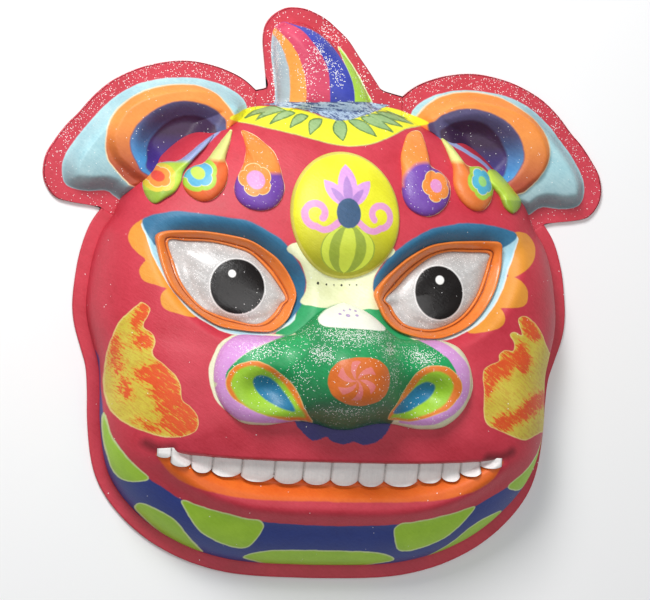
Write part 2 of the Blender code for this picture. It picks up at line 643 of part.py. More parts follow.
def build_eye(side, word):
    """The eyeball inside its lid."""
    def outline(angle):
        reach = (EYE_REACH * polar_reach(EYE_OUTLINE, 1, angle) - 2 * SEAT_GAP)[:, None]
        centre = place(side * EYE_X, EYE_Y)
        return centre, centre + reach * np.stack([side * np.cos(angle), np.sin(angle)], axis=-1)
    made = pad(word + "_eyeball", outline, EYE_BULGE, EYE_FACETS, WHITE, square=2.5, dish=2 * SEAT_DISH,
               lift=SEAT_GAP)
    if side < 0:
        made.data.flip_normals()
    return made


def build_lid(side, word):
    """The raised lid round an eye: a ring whose section runs from the white out to the lid's outline."""
    half_section = 0.3
    bpy.ops.mesh.primitive_torus_add(major_segments=LID_FACETS[0], minor_segments=LID_FACETS[1],
                                     major_radius=1, minor_radius=half_section)
    torus = bpy.context.object
    unit = np.array([vertex.co for vertex in torus.data.vertices])
    angle = np.arctan2(unit[:, 1], unit[:, 0])
    across = (np.linalg.norm(unit[:, :2], axis=1) - 1) / half_section
    white = EYE_REACH * polar_reach(EYE_OUTLINE, 1, angle) + SEAT_GAP
    lid = EYE_REACH * polar_reach(EYE_OUTLINE, 2, angle)
    reach = white + (lid - white) * (across + 1) / 2
    points = place(side * EYE_X, EYE_Y) + reach[:, None] * np.stack([side * np.cos(angle), np.sin(angle)], axis=-1)
    rise = LID_HEIGHT * np.clip(unit[:, 2] / half_section, 0, None)
    ring = bmesh.new()
    ring.from_mesh(torus.data)
    bpy.data.objects.remove(torus)
    made = seated(ring, points, rise, word + "_eyelid", ORANGE)
    if side < 0:
        made.data.flip_normals()
    return made


def build_boss():
    """The egg-shaped boss in the middle of the forehead."""
    def outline(angle):
        centre = place(0, BOSS_Y)
        reach = np.stack([BOSS_HALF_WIDTH * np.cos(angle), BOSS_HALF_HEIGHT * np.sin(angle)], axis=-1)
        return centre, centre + reach
    return pad("forehead_boss", outline, BOSS_HEIGHT, BOSS_FACETS, YELLOW, square=2.2)


def build_drop(side, word, number, row):
    """A teardrop boss with its tail drawn out towards the root of the ear."""
    x, y, half_width, tip_x, tip_y = row
    middle = place(side * x, y)
    tail = place(side * tip_x, tip_y) - middle
    length = np.linalg.norm(tail)
    along = tail / length
    across = np.array([-along[1], along[0]])

    def outline(angle):
        reach = half_width * WIDTH / 2
        forward = np.cos(angle)
        stretch = np.where(forward > 0, reach + (length - reach) * forward ** TAIL_POWER, reach)
        width = reach * (1 - TAIL_WAIST * np.clip(forward, 0, None))
        edge = middle + (stretch * forward)[:, None] * along + (width * np.sin(angle))[:, None] * across
        return middle, edge
    return pad(f"{word}_drop_{number}", outline, DROP_HEIGHT, DROP_FACETS, YELLOW, dish=2 * SEAT_DISH)


def body_between(name, front, back, painted):
    """A closed body between two grids of points: both grids as faces, and a strip round their edges."""
    rows, columns = front.shape[:2]
    count = rows * columns
    index = np.arange(count).reshape(rows, columns)
    cells = np.stack([index[:-1, :-1], index[:-1, 1:], index[1:, 1:], index[1:, :-1]], axis=-1).reshape(-1, 4)
    edge = np.concatenate([index[0, :-1], index[:-1, -1], index[-1, :0:-1], index[:0:-1, 0]])
    following = np.roll(edge, -1)
    sides = np.stack([edge, edge + count, following + count, following], axis=-1)
    mesh = bpy.data.meshes.new(name)
    mesh.from_pydata(np.concatenate([front.reshape(-1, 3), back.reshape(-1, 3)]).tolist(), [],
                     np.concatenate([cells, cells[:, ::-1] + count, sides]).tolist())
    edit = bmesh.new()
    edit.from_mesh(mesh)
    bmesh.ops.recalc_face_normals(edit, faces=edit.faces)
    bmesh.ops.triangulate(edit, faces=edit.faces)
    return object_from(name, edit, painted)


def build_teeth():
    """The row of upper teeth, one moulded plate that hangs from the upper edge of the mouth."""
    columns = COLUMNS_PER_TOOTH * TEETH
    half = MOUTH_X * WIDTH / 2 - MOUTH_END_SLOPE
    x = np.linspace(-half, half, columns + 1)
    top, bottom = mouth_lines(x)
    top = top - TOOTH_DROP
    bow = np.abs(np.sin(np.linspace(0, TEETH * math.pi, columns + 1)))
    length = np.minimum(TOOTH_LENGTH, TOOTH_SHARE * (top - bottom)) * (1 - TOOTH_BOW * (1 - bow))
    y = top - np.linspace(0, 1, TOOTH_ROWS + 1)[:, None] * length
    points = np.stack([np.broadcast_to(x, y.shape), y], axis=-1)
    height = seat(points.reshape(-1, 2))[0].reshape(y.shape) + 2 * SEAT_GAP
    back = np.concatenate([points, height[..., None]], axis=-1)
    thickness = TOOTH_THICKNESS * (1 - TOOTH_THIN * (1 - bow))
    front = back + np.stack([0 * x, 0 * x, thickness], axis=-1)
    return body_between("upper_teeth", front, back, IVORY)


for old in list(bpy.data.objects):
    bpy.data.objects.remove(old)
MASK = bpy.data.collections.new("lion_dance_mask")
bpy.context.scene.collection.children.link(MASK)

RED = material("red_paint", (0.60, 0.05, 0.08), 0.5)
BLUE = material("blue_paint", (0.07, 0.10, 0.42), 0.5)
GREEN = material("green_paint", (0.03, 0.35, 0.15), 0.4)
WHITE = material("white_gloss", (0.75, 0.74, 0.70), 0.2)
ORANGE = material("orange_paint", (0.80, 0.22, 0.03), 0.5)
YELLOW = material("yellow_paint", (0.85, 0.78, 0.04), 0.5)
IVORY = material("ivory_paint", (0.80, 0.78, 0.72), 0.4)

FACE = build_face()
build_ear("left_ear", -1)
build_ear("right_ear", 1)
build_horn()
build_nose()
SEAT_TREE = seat_tree()
build_boss()
build_teeth()
for side, word in ((-1, "left"), (1, "right")):
    build_eye(side, word)
    build_lid(side, word)
    for number, row in enumerate(DROPS, 1):
        build_drop(side, word, number, row)
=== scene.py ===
"""Painted lion dance mask of moulded paper pulp, lying face up on its flat rim.

Lengths are metres. +Z points out of the face and +Y towards the horn. Paint edges are read as distances
in millimetres, positive inside a painted shape, which each piece carries as attributes of its points.
"""
import math

import bmesh
import bpy
import numpy as np
from mathutils import Matrix, Vector


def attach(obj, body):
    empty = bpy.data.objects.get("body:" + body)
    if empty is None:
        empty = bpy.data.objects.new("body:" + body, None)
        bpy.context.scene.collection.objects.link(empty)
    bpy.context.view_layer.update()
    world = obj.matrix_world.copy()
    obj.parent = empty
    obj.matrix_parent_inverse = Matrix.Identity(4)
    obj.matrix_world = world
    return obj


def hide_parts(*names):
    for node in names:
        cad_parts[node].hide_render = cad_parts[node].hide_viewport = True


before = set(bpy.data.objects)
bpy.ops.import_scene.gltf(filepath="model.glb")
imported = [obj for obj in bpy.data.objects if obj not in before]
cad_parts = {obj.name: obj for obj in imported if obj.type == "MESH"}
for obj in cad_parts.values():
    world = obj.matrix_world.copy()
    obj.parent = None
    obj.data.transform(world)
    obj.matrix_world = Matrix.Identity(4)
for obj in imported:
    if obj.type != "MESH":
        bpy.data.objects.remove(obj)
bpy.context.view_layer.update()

# Main sizes of the mask
WIDTH = 0.390
HEIGHT = 0.387
DOME_HEIGHT = 0.072
WALL = 0.0025
RIM_WIDTH = 0.009

# Heights of the moulded relief
NOSE_HEIGHT = 0.045
NOSE_EDGE = 0.008
WING_HEIGHT = 0.017
NOSTRIL_DEPTH = 0.017
SOCKET_DEPTH = 0.019
SOCKET_FADE = 0.030
BRIDGE_DEPTH = 0.012
CHEEK_BULGE = 0.006
MOUTH_DEPTH = 0.010
LIP_HEIGHT = 0.006
EAR_HEIGHT = 0.013
EAR_RING = 0.004
EAR_HOLLOW = 0.012
HORN_HEIGHT = 0.022

# How far the relief spreads in plan
TIP_SPREAD = 0.031
TIP_SPREAD_UP = 0.036
TIP_SPREAD_DOWN = 0.030
WING_SPREAD = (0.030, 0.026)
NOSTRIL_SPREAD = (0.018, 0.012)
BRIDGE_SPREAD = (0.024, 0.020)
LIP_DROP = 0.008
LIP_SPREAD = 0.008
UPPER_LIP_SLOPE = 0.003
LOWER_LIP_SLOPE = 0.011
MOUTH_END_SLOPE = 0.012
EAR_SLOPE = 0.011
RING_SLOPE = 0.006
HOLLOW_SLOPE = 0.016
HORN_SLOPE = 0.0231

# Raised pieces
EYE_REACH = 0.044
EYE_BULGE = 0.008
LID_HEIGHT = 0.005
NOSE_REACH = 0.088
BOSS_HALF_WIDTH = 0.0375
BOSS_HALF_HEIGHT = 0.0425
BOSS_HEIGHT = 0.010
DROP_HEIGHT = 0.008
TOOTH_THICKNESS = 0.004

# Places, as shares of half the width and half the height
NOSE_Y = -0.285
EYE_X = 0.354
EYE_Y = 0.015
BOSS_Y = 0.275
WING_X = 0.31
WING_Y = -0.30
NOSTRIL_X = 0.285
NOSTRIL_Y = -0.325
BRIDGE_Y = 0.05
MOUTH_X = 0.605
MOUTH_TOP_Y = -0.570
MOUTH_CORNER_Y = -0.545
MOUTH_BOTTOM_Y = -0.710
CHEEK_Y = -0.44
CHEEK_SPREAD = 0.26

# Foot of the face wall from the top of the head to the chin: x, y, and how square the section is there
HORN_FOOT = ((0.000, 0.672, 2.3), (0.120, 0.668, 2.3), (0.200, 0.655, 2.3), (0.263, 0.636, 2.3))
EAR_FOOT = ((0.263, 0.636, 2.3), (0.345, 0.605, 2.3), (0.425, 0.577, 2.3), (0.5, 0.545, 2.3),
    (0.562, 0.5, 2.3), (0.625, 0.435, 2.4), (0.672, 0.388, 2.5), (0.715, 0.335, 2.6), (0.752, 0.25, 2.8))
CHEEK_FOOT = ((0.752, 0.25, 2.8), (0.79, 0.19, 3.0), (0.818, 0.1, 3.2), (0.832, 0.0, 3.4),
    (0.835, -0.07, 3.6), (0.826, -0.13, 4.0), (0.804, -0.2, 5.0), (0.783, -0.27, 6.0), (0.774, -0.36, 7.0),
    (0.77, -0.46, 7.0), (0.757, -0.57, 6.0), (0.736, -0.645, 4.5), (0.702, -0.705, 3.6), (0.658, -0.758, 3.0),
    (0.604, -0.808, 2.7), (0.536, -0.855, 2.5), (0.45, -0.897, 2.3), (0.363, -0.925, 2.2),
    (0.275, -0.942, 2.1), (0.165, -0.95, 2.1), (0.0, -0.953, 2.1))

# Outer edge of an ear from the notch at the cheek round to the notch beside the horn, and of the horn
EAR_RIM = ((0.8, 0.277), (0.842, 0.282), (0.905, 0.29), (0.955, 0.305), (0.988, 0.345), (1.0, 0.393),
    (0.99, 0.453), (0.957, 0.51), (0.92, 0.56), (0.882, 0.6), (0.832, 0.66), (0.767, 0.717), (0.677, 0.763),
    (0.587, 0.788), (0.503, 0.796), (0.417, 0.784), (0.347, 0.761), (0.3, 0.736), (0.263, 0.705))
HORN_RIM = ((-0.263, 0.705), (-0.223, 0.719), (-0.23, 0.76), (-0.236, 0.807), (-0.244, 0.88), (-0.238, 0.93),
    (-0.216, 0.965), (-0.18, 0.991), (-0.147, 1.0), (-0.097, 0.997), (-0.053, 0.981), (-0.016, 0.961),
    (0.021, 0.931), (0.062, 0.893), (0.099, 0.842), (0.137, 0.791), (0.168, 0.747), (0.19, 0.724),
    (0.263, 0.705))

# Raised outlines on an ear and on the horn: x, y
EAR_BODY = ((0.29, 0.64), (0.32, 0.685), (0.38, 0.718), (0.46, 0.738), (0.555, 0.738), (0.645, 0.722),
    (0.72, 0.69), (0.79, 0.635), (0.845, 0.572), (0.9, 0.5), (0.935, 0.43), (0.935, 0.37), (0.91, 0.338),
    (0.85, 0.326), (0.78, 0.33), (0.7, 0.3), (0.5, 0.4), (0.3, 0.56))
EAR_RING_OUTER = ((0.325, 0.62), (0.36, 0.663), (0.415, 0.698), (0.49, 0.717), (0.59, 0.703), (0.68, 0.673),
    (0.745, 0.627), (0.782, 0.565), (0.795, 0.505), (0.772, 0.44), (0.735, 0.405), (0.69, 0.37), (0.6, 0.35),
    (0.4, 0.48))
EAR_RING_INNER = ((0.385, 0.608), (0.42, 0.638), (0.49, 0.658), (0.555, 0.653), (0.625, 0.622), (0.68, 0.572),
    (0.705, 0.52), (0.7, 0.475), (0.67, 0.43), (0.6, 0.38), (0.48, 0.45))
HORN_BODY = ((-0.18, 0.6), (-0.188, 0.68), (-0.194, 0.74), (-0.206, 0.82), (-0.208, 0.88), (-0.2, 0.922),
    (-0.173, 0.94), (-0.13, 0.946), (-0.09, 0.937), (-0.039, 0.911), (0.012, 0.867), (0.061, 0.82),
    (0.099, 0.762), (0.135, 0.69), (0.15, 0.6))

# Outline of a lid round the pupil: angle from the outer side in degrees, and reach
EYE_OUTLINE = ((0, 0.92), (35, 1.2), (60, 0.93), (90, 0.76), (120, 0.71), (150, 0.76), (180, 0.89),
    (205, 0.88), (240, 0.72), (270, 0.655), (300, 0.665), (330, 0.735))

# Outline of the nose round its tip: angle from the right in degrees, and reach
NOSE_OUTLINE = ((-90, 0.39), (-60, 0.405), (-42, 0.5), (-31, 0.72), (-24, 0.86), (-12, 0.97), (0, 1.0),
    (12, 0.965), (20, 0.865), (26, 0.69), (34, 0.545), (45, 0.5), (60, 0.51), (90, 0.57))

# Section of an eyelid: share of the way out from the white, and share of the lid's height
LID_SECTION = ((0.0, -0.1), (0.0, 0.3), (0.02, 0.55), (0.06, 0.68), (0.12, 0.72), (0.18, 0.66), (0.23, 0.52),
    (0.27, 0.46), (0.31, 0.52), (0.36, 0.7), (0.42, 0.8), (0.55, 0.9), (0.7, 0.98), (0.82, 1.0), (0.9, 0.92),
    (0.95, 0.76), (0.985, 0.45), (1.0, 0.05), (1.0, -0.1))

# The photograph's viewpoint: 2.8 m away, 13 degrees to the viewer's left, and one pixel's size at the rim
VIEW_DISTANCE = 2.8
VIEW_TURN = math.radians(13.19)
VIEW_TILT = math.radians(0.21)
VIEW_ROLL = math.radians(1.97)
VIEW_MIDDLE = (322.08, 293.79)
PHOTO_SIZE = (650, 600)
PIXEL = 0.0006801

AWAY = np.array([-math.sin(VIEW_TURN) * math.cos(VIEW_TILT), math.sin(VIEW_TILT),
                 math.cos(VIEW_TURN) * math.cos(VIEW_TILT)])
LEVEL = np.array([math.cos(VIEW_TURN), 0, math.sin(VIEW_TURN)])
PLUMB = np.cross(AWAY, LEVEL)
RIGHT = LEVEL * math.cos(VIEW_ROLL) + PLUMB * math.sin(VIEW_ROLL)
UP = PLUMB * math.cos(VIEW_ROLL) - LEVEL * math.sin(VIEW_ROLL)

# Where sockets start to sink and over what share, and where the lower lip fades and over what share
SOCKET_START = 0.72
SOCKET_FADE_SHARE = 0.62
LIP_END = 0.92
LIP_FADE = 0.2

# How pieces lap: into the wall, into the face, lids and drops over the face, and an eyeball under its lid
EDGE_LAP = 0.0015
SEAT = 0.0008
LID_LIFT = 0.004
DROP_LIFT = 0.001
UNDER_LID = 1.02
FLATTEST_BACK = 0.3    # least upward part of a normal that the back is set off along

# Shape of a tooth: tuck under the lip, bow of its lower edge, its power, flat share of the thickness, and
# how thin the row gets at its ends and from how far off
TOOTH_TUCK = 0.0015
TOOTH_BOW = 0.22
TOOTH_BOW_POWER = 2.6
TOOTH_FLAT = 0.66
TOOTH_END = 0.35
TOOTH_END_REACH = 0.03

UNPAINTED = -9.0       # a distance in mm for points that no paint reaches
PAINT_MARGIN = 0.006   # how far round a shape its distances are worked out
AT_ONCE = 8000         # points measured in one go


# Curves, distances and easing
def place(x, y):
    """A place on the mask from shares of half the width and half the height."""
    return np.stack([np.asarray(x) * WIDTH / 2, np.asarray(y) * HEIGHT / 2], axis=-1)


def smooth_line(points, closed=False, fine=16):
    """A fine line through the points.

    Each stretch is a Catmull-Rom cubic, whose slope at a point is half the step from the point before it
    to the point after it. On a closed line the last point leads on to the first.
    """
    points = np.asarray(points, float)
    if closed:
        ends = np.vstack([points[-1:], points, points[:2]])
    else:
        ends = np.vstack([2 * points[0] - points[1], points, 2 * points[-1] - points[-2]])
    t = np.linspace(0, 1, fine, endpoint=False)[:, None, None]
    before, start, end, after = ends[:-3], ends[1:-2], ends[2:-1], ends[3:]
    line = 0.5 * (2 * start + (end - before) * t + (2 * before - 5 * start + 4 * end - after) * t ** 2
                  + (3 * start - before - 3 * end + after) * t ** 3)
    line = line.transpose(1, 0, 2).reshape(-1, points.shape[1])
    return line if closed else np.vstack([line, points[-1:]])


def even_steps(line, count):
    """A line again with evenly spaced points, by its length in plan."""
    length = np.concatenate([[0], np.cumsum(np.linalg.norm(np.diff(line[:, :2], axis=0), axis=1))])
    steps = np.linspace(0, length[-1], count)
    return np.stack([np.interp(steps, length, column) for column in line.T], axis=-1)


def table_line(table, count, closed=False):
    """Even steps along the curve through a table of shares; a third column is carried along unchanged."""
    rows = np.array(table, float)
    rows[:, 0] *= WIDTH / 2
    rows[:, 1] *= HEIGHT / 2
    line = smooth_line(rows, closed)
    if closed:
        line = np.vstack([line, line[:1]])
    steps = even_steps(line, count + 1 if closed else count)
    return steps[:-1] if closed else steps


def polar_reach(table, angle):
    """Reach of a closed outline in a direction, as a smooth curve through the rows of its table."""
    rows = np.array(table, float)
    start = rows[0, 0]
    turned = (np.degrees(angle) - start) % 360 + start
    knots = np.append(rows[:, 0], start + 360)
    reach = np.append(rows[:, 1], rows[0, 1])
    slope = np.gradient(np.concatenate([reach[-2:-1], reach, reach[1:2]]),
                        np.concatenate([[knots[-2] - 360], knots, [knots[1] + 360]]))[1:-1]
    row = np.clip(np.searchsorted(knots, turned, side="right") - 1, 0, len(knots) - 2)
    width = knots[row + 1] - knots[row]
    t = (turned - knots[row]) / width
    return ((2 * t ** 3 - 3 * t ** 2 + 1) * reach[row] + (t ** 3 - 2 * t ** 2 + t) * width * slope[row]
            + (3 * t ** 2 - 2 * t ** 3) * reach[row + 1] + (t ** 3 - t ** 2) * width * slope[row + 1])


def line_distance(points, line, closed):
    """Distance from each point to the nearest stretch of a line, and whether it lies inside a closed one.

    A point is inside when a ray to its right crosses the line an odd number of times.
    """
    start = line if closed else line[:-1]
    step = (np.roll(line, -1, axis=0) if closed else line[1:]) - start
    away = points[:, None, :] - start
    share = np.clip((away * step).sum(-1) / np.maximum((step ** 2).sum(-1), 1e-18), 0, 1)
    gap = np.linalg.norm(away - share[..., None] * step, axis=-1).min(-1)
    above = start[:, 1] > points[:, None, 1]
    above_next = start[:, 1] + step[:, 1] > points[:, None, 1]
    rise = np.where(step[:, 1] == 0, 1, step[:, 1])
    crossing = start[:, 0] + (points[:, None, 1] - start[:, 1]) * step[:, 0] / rise
    inside = ((above != above_next) & (points[:, None, 0] < crossing)).sum(-1) % 2 == 1
    return gap, inside


def near_line(points, line, measure):
    """A measure in mm of the points within a line's box and a margin, and no paint at the others."""
    flat = points.reshape(-1, 2)
    low, high = line.min(axis=0) - PAINT_MARGIN, line.max(axis=0) + PAINT_MARGIN
    near = np.flatnonzero(((flat > low) & (flat < high)).all(axis=1))
    result = np.full(len(flat), UNPAINTED)
    for some in np.array_split(near, max(1, len(near) // AT_ONCE)):
        result[some] = measure(flat[some]) * 1000
    return np.maximum(result, UNPAINTED).reshape(points.shape[:-1])


def inner_distance(points, outline):
    """Distance to a closed outline in metres, positive inside it."""
    gap, inside = line_distance(points, outline, True)
    return np.where(inside, gap, -gap)


def within(points, outline):
    """Distance in mm to a closed outline, positive inside it."""
    return near_line(points, outline, lambda some: inner_distance(some, outline))


def stroke(points, path, half_width):
    """Distance in mm to the edge of a brush stroke: half its width less the distance to its path."""
    return near_line(points, path, lambda some: half_width - line_distance(some, path, False)[0])


def signed_depth(points, outline):
    """Distance to a closed outline in metres, positive inside it, at every point."""
    flat = points.reshape(-1, 2)
    parts = [inner_distance(some, outline) for some in np.array_split(flat, max(1, len(flat) // AT_ONCE))]
    return np.concatenate(parts).reshape(points.shape[:-1])


def on_right(points):
    """Points again with those on the left half mirrored to the right."""
    return np.stack([np.abs(points[..., 0]), points[..., 1]], axis=-1)


def heading(angle):
    """Unit vectors in plan at angles from the right."""
    return np.stack([np.cos(angle), np.sin(angle)], axis=-1)


def disc(points, middle, radius):
    """Distance in mm to the edge of a disc, positive inside it."""
    return np.maximum(UNPAINTED, (radius - np.linalg.norm(points - middle, axis=-1)) * 1000)


def any_of(*distances):
    """Shapes joined: the largest of their distances."""
    return np.maximum.reduce(distances)


def all_of(*distances):
    """Where shapes overlap: the smallest of their distances."""
    return np.minimum.reduce(distances)


def ease(value):
    """0 below 0, 1 above 1, and a smooth S between them: 3 t squared less 2 t cubed."""
    t = np.clip(value, 0, 1)
    return t * t * (3 - 2 * t)


def swell(points, centre, spread):
    """A round bump of height 1: e to the minus squared distance, counted in spreads."""
    offset = (points - centre) / np.array(spread)
    return np.exp(-(offset ** 2).sum(-1))


# Height of the face and of what is moulded on it
NOSE_CENTRE = place(0, NOSE_Y)


def mirrored(line):
    """A closed outline from its right half: the half, then its mirror image without the two shared ends."""
    left = line[-2:0:-1] * np.where(np.arange(line.shape[1]) == 0, -1, 1)
    return np.vstack([line, left])


def foot_line(horn, ear, cheek):
    """Foot of the right half of the wall in so many steps, top to chin; the third column is squareness."""
    parts = [table_line(table, count + 1) for table, count in
             ((HORN_FOOT, horn), (EAR_FOOT, ear), (CHEEK_FOOT, cheek))]
    return np.vstack([parts[0], parts[1][1:], parts[2][1:]])


FOOT = mirrored(foot_line(24, 60, 150))
FOOT_ANGLE = np.arctan2(FOOT[:, 1] - NOSE_CENTRE[1], FOOT[:, 0] - NOSE_CENTRE[0])
FOOT_ORDER = np.argsort(FOOT_ANGLE)


def foot_reach(points):
    """Share of the way from the nose tip to the foot of the wall, and the squareness in that direction."""
    offset = points - NOSE_CENTRE
    angle = np.arctan2(offset[..., 1], offset[..., 0])
    known = FOOT_ANGLE[FOOT_ORDER]
    reach = np.linalg.norm(FOOT[FOOT_ORDER, :2] - NOSE_CENTRE, axis=1)
    foot = np.interp(angle, known, reach, period=2 * math.pi)
    square = np.interp(angle, known, FOOT[FOOT_ORDER, 2], period=2 * math.pi)
    return np.linalg.norm(offset, axis=-1) / foot, square


def eye_share(points, side):
    """Distance from the pupil as a share of the lid's reach in that direction."""
    offset = (points - place(side * EYE_X, EYE_Y)) * np.array([side, 1])
    angle = np.arctan2(offset[..., 1], offset[..., 0])
    return np.linalg.norm(offset, axis=-1) / (EYE_REACH * polar_reach(EYE_OUTLINE, angle))


def mouth_lines(x):
    """Upper and lower edge of the mouth at x, bent up to its corners by powers 3 and 3.5 of the share."""
    share = np.clip(np.abs(x) / (MOUTH_X * WIDTH / 2), 0, 1)
    corner, top, bottom = (value * HEIGHT / 2 for value in (MOUTH_CORNER_Y, MOUTH_TOP_Y, MOUTH_BOTTOM_Y))
    return top + (corner - top) * share ** 3, bottom + (corner - bottom) * share ** 3.5


def mouth_recess(points):
    """1 on the floor of the mouth, 0 outside it: a sharp upper edge and a sloping lower one."""
    top, bottom = mouth_lines(points[..., 0])
    upper = ease((top - points[..., 1]) / UPPER_LIP_SLOPE)
    lower = ease((points[..., 1] - bottom) / LOWER_LIP_SLOPE)
    ends = ease((MOUTH_X * WIDTH / 2 - np.abs(points[..., 0])) / MOUTH_END_SLOPE)
    return upper * lower * ends


def face_height(points):
    """Height of the face: a dome with sunk sockets, a low bridge, a mouth and a full lower lip.

    The dome is its height times the root of 1 less the share of the way to its foot, to the power of how
    square the wall is there.
    """
    share, square = foot_reach(points)
    height = DOME_HEIGHT * np.sqrt(np.clip(1 - np.clip(share, 0, 1) ** square, 0, 1))
    for side in (-1, 1):
        socket = 1 - ease((eye_share(points, side) - SOCKET_START) / SOCKET_FADE_SHARE)
        height = height - SOCKET_DEPTH * socket * ease(height / SOCKET_FADE)
    height = height - BRIDGE_DEPTH * swell(points, place(0, BRIDGE_Y), BRIDGE_SPREAD)
    height = height - MOUTH_DEPTH * mouth_recess(points)
    bottom = mouth_lines(points[..., 0])[1]
    lip = np.exp(-((points[..., 1] - bottom + LIP_DROP) / LIP_SPREAD) ** 2)
    return height + LIP_HEIGHT * lip * ease((LIP_END - share) / LIP_FADE)


def nose_share(points):
    """Distance from the nose tip as a share of the outline's reach in that direction."""
    offset = points - NOSE_CENTRE
    angle = np.arctan2(offset[..., 1], np.abs(offset[..., 0]))
    return np.linalg.norm(offset, axis=-1) / (NOSE_REACH * nose_reach(angle))


def nose_reach(angle):
    """Reach of the nose's outline: a smooth curve through its table, as a share."""
    rows = smooth_line(NOSE_OUTLINE)
    return np.interp(np.degrees(angle), rows[:, 0], rows[:, 1])


def nose_height(points):
    """Height of the nose: the face with a bulb at the tip, two round wings, and a pit for each nostril.

    The bulb is e to the minus cube of x and to the minus 2.8th power of y, counted in its spreads.
    All of it fades to the face along the outline as the root of 1 less the share to the sixth power.
    """
    edge = np.sqrt(np.clip(1 - np.clip(nose_share(points), 0, 1) ** 6, 0, 1))
    offset = points - NOSE_CENTRE
    rise = np.where(offset[..., 1] > 0, TIP_SPREAD_UP, TIP_SPREAD_DOWN)
    bulb = np.exp(-(np.abs(offset[..., 0] / TIP_SPREAD) ** 3 + np.abs(offset[..., 1] / rise) ** 2.8))
    height = NOSE_EDGE + (NOSE_HEIGHT - NOSE_EDGE) * bulb
    for side in (-1, 1):
        height = height + WING_HEIGHT * swell(points, place(side * WING_X, WING_Y), WING_SPREAD)
        pit = swell(points, place(side * NOSTRIL_X, NOSTRIL_Y), NOSTRIL_SPREAD)
        height = height - NOSTRIL_DEPTH * pit
    return face_height(points) + height * edge


def front_height(points):
    """Height of the mask's front at a place: the nose inside its outline, the face outside it."""
    return np.where(nose_share(points) < 1, nose_height(points), face_height(points))


def cheek_bulge(points, height):
    """How far the wall swells outwards, most at half the dome's height beside the lower cheeks."""
    level = np.exp(-((points[..., 1] / (HEIGHT / 2) - CHEEK_Y) / CHEEK_SPREAD) ** 2)
    upright = np.sin(math.pi * np.clip(height / DOME_HEIGHT, 0, 1))
    return CHEEK_BULGE * level * upright * np.clip(foot_reach(points)[0], 0, 1) ** 8


def ear_relief(points):
    """Height of an ear above its rim: a broad band, a raised ring and the hollow inside it."""
    right = on_right(points)
    body, outer, inner = (table_line(table, 90, True) for table in (EAR_BODY, EAR_RING_OUTER, EAR_RING_INNER))
    height = EAR_HEIGHT * ease(signed_depth(right, body) / EAR_SLOPE)
    height = height + EAR_RING * ease(signed_depth(right, outer) / RING_SLOPE)
    return height - EAR_HOLLOW * ease(signed_depth(right, inner) / HOLLOW_SLOPE)


def horn_relief(points):
    """Height of the horn above its rim: a round section."""
    depth = np.clip(signed_depth(points, table_line(HORN_BODY, 90, True)) / HORN_SLOPE, 0, 1)
    return HORN_HEIGHT * np.sqrt(1 - (1 - depth) ** 2)


# From the photograph to the mask
def seen_at(pixels, height):
    """Places on a surface under pixels of the photograph.

    The line of sight through each pixel is cut at a height, and the height is drawn towards the
    surface's own height there until both agree.
    """
    pixels = np.asarray(pixels, float)
    target = ((pixels[:, :1] - VIEW_MIDDLE[0]) * RIGHT + (VIEW_MIDDLE[1] - pixels[:, 1:]) * UP) * PIXEL
    eye = VIEW_DISTANCE * AWAY
    level = np.full(len(pixels), 0.04)
    for _ in range(24):
        share = (eye[2] - level) / (eye[2] - target[:, 2])
        places = (eye + share[:, None] * (target - eye))[:, :2]
        level = 0.5 * (level + height(places))
    return places


def painted_outline(pixels, height=front_height):
    """A closed painted outline on the mask through pixels of the photograph."""
    return seen_at(smooth_line(pixels, closed=True, fine=5), height)


def shapes(points, outlines, height=front_height):
    """Distance in mm to painted shapes, from their outlines in the photograph."""
    return any_of(*[within(points, painted_outline(one, height)) for one in outlines])


# Meshes
def grid_faces(rows, columns, join_rows, join_columns):
    """Corners of the cells of a grid of points whose columns run clockwise and whose rows run outwards."""
    down = np.arange(rows if join_rows else rows - 1)
    along = np.arange(columns if join_columns else columns - 1)
    row, column = (part.ravel() for part in np.meshgrid(down, along, indexing="ij"))
    next_row, next_column = (row + 1) % rows, (column + 1) % columns
    return np.stack([row * columns + column, row * columns + next_column,
                     next_row * columns + next_column, next_row * columns + column], axis=-1)


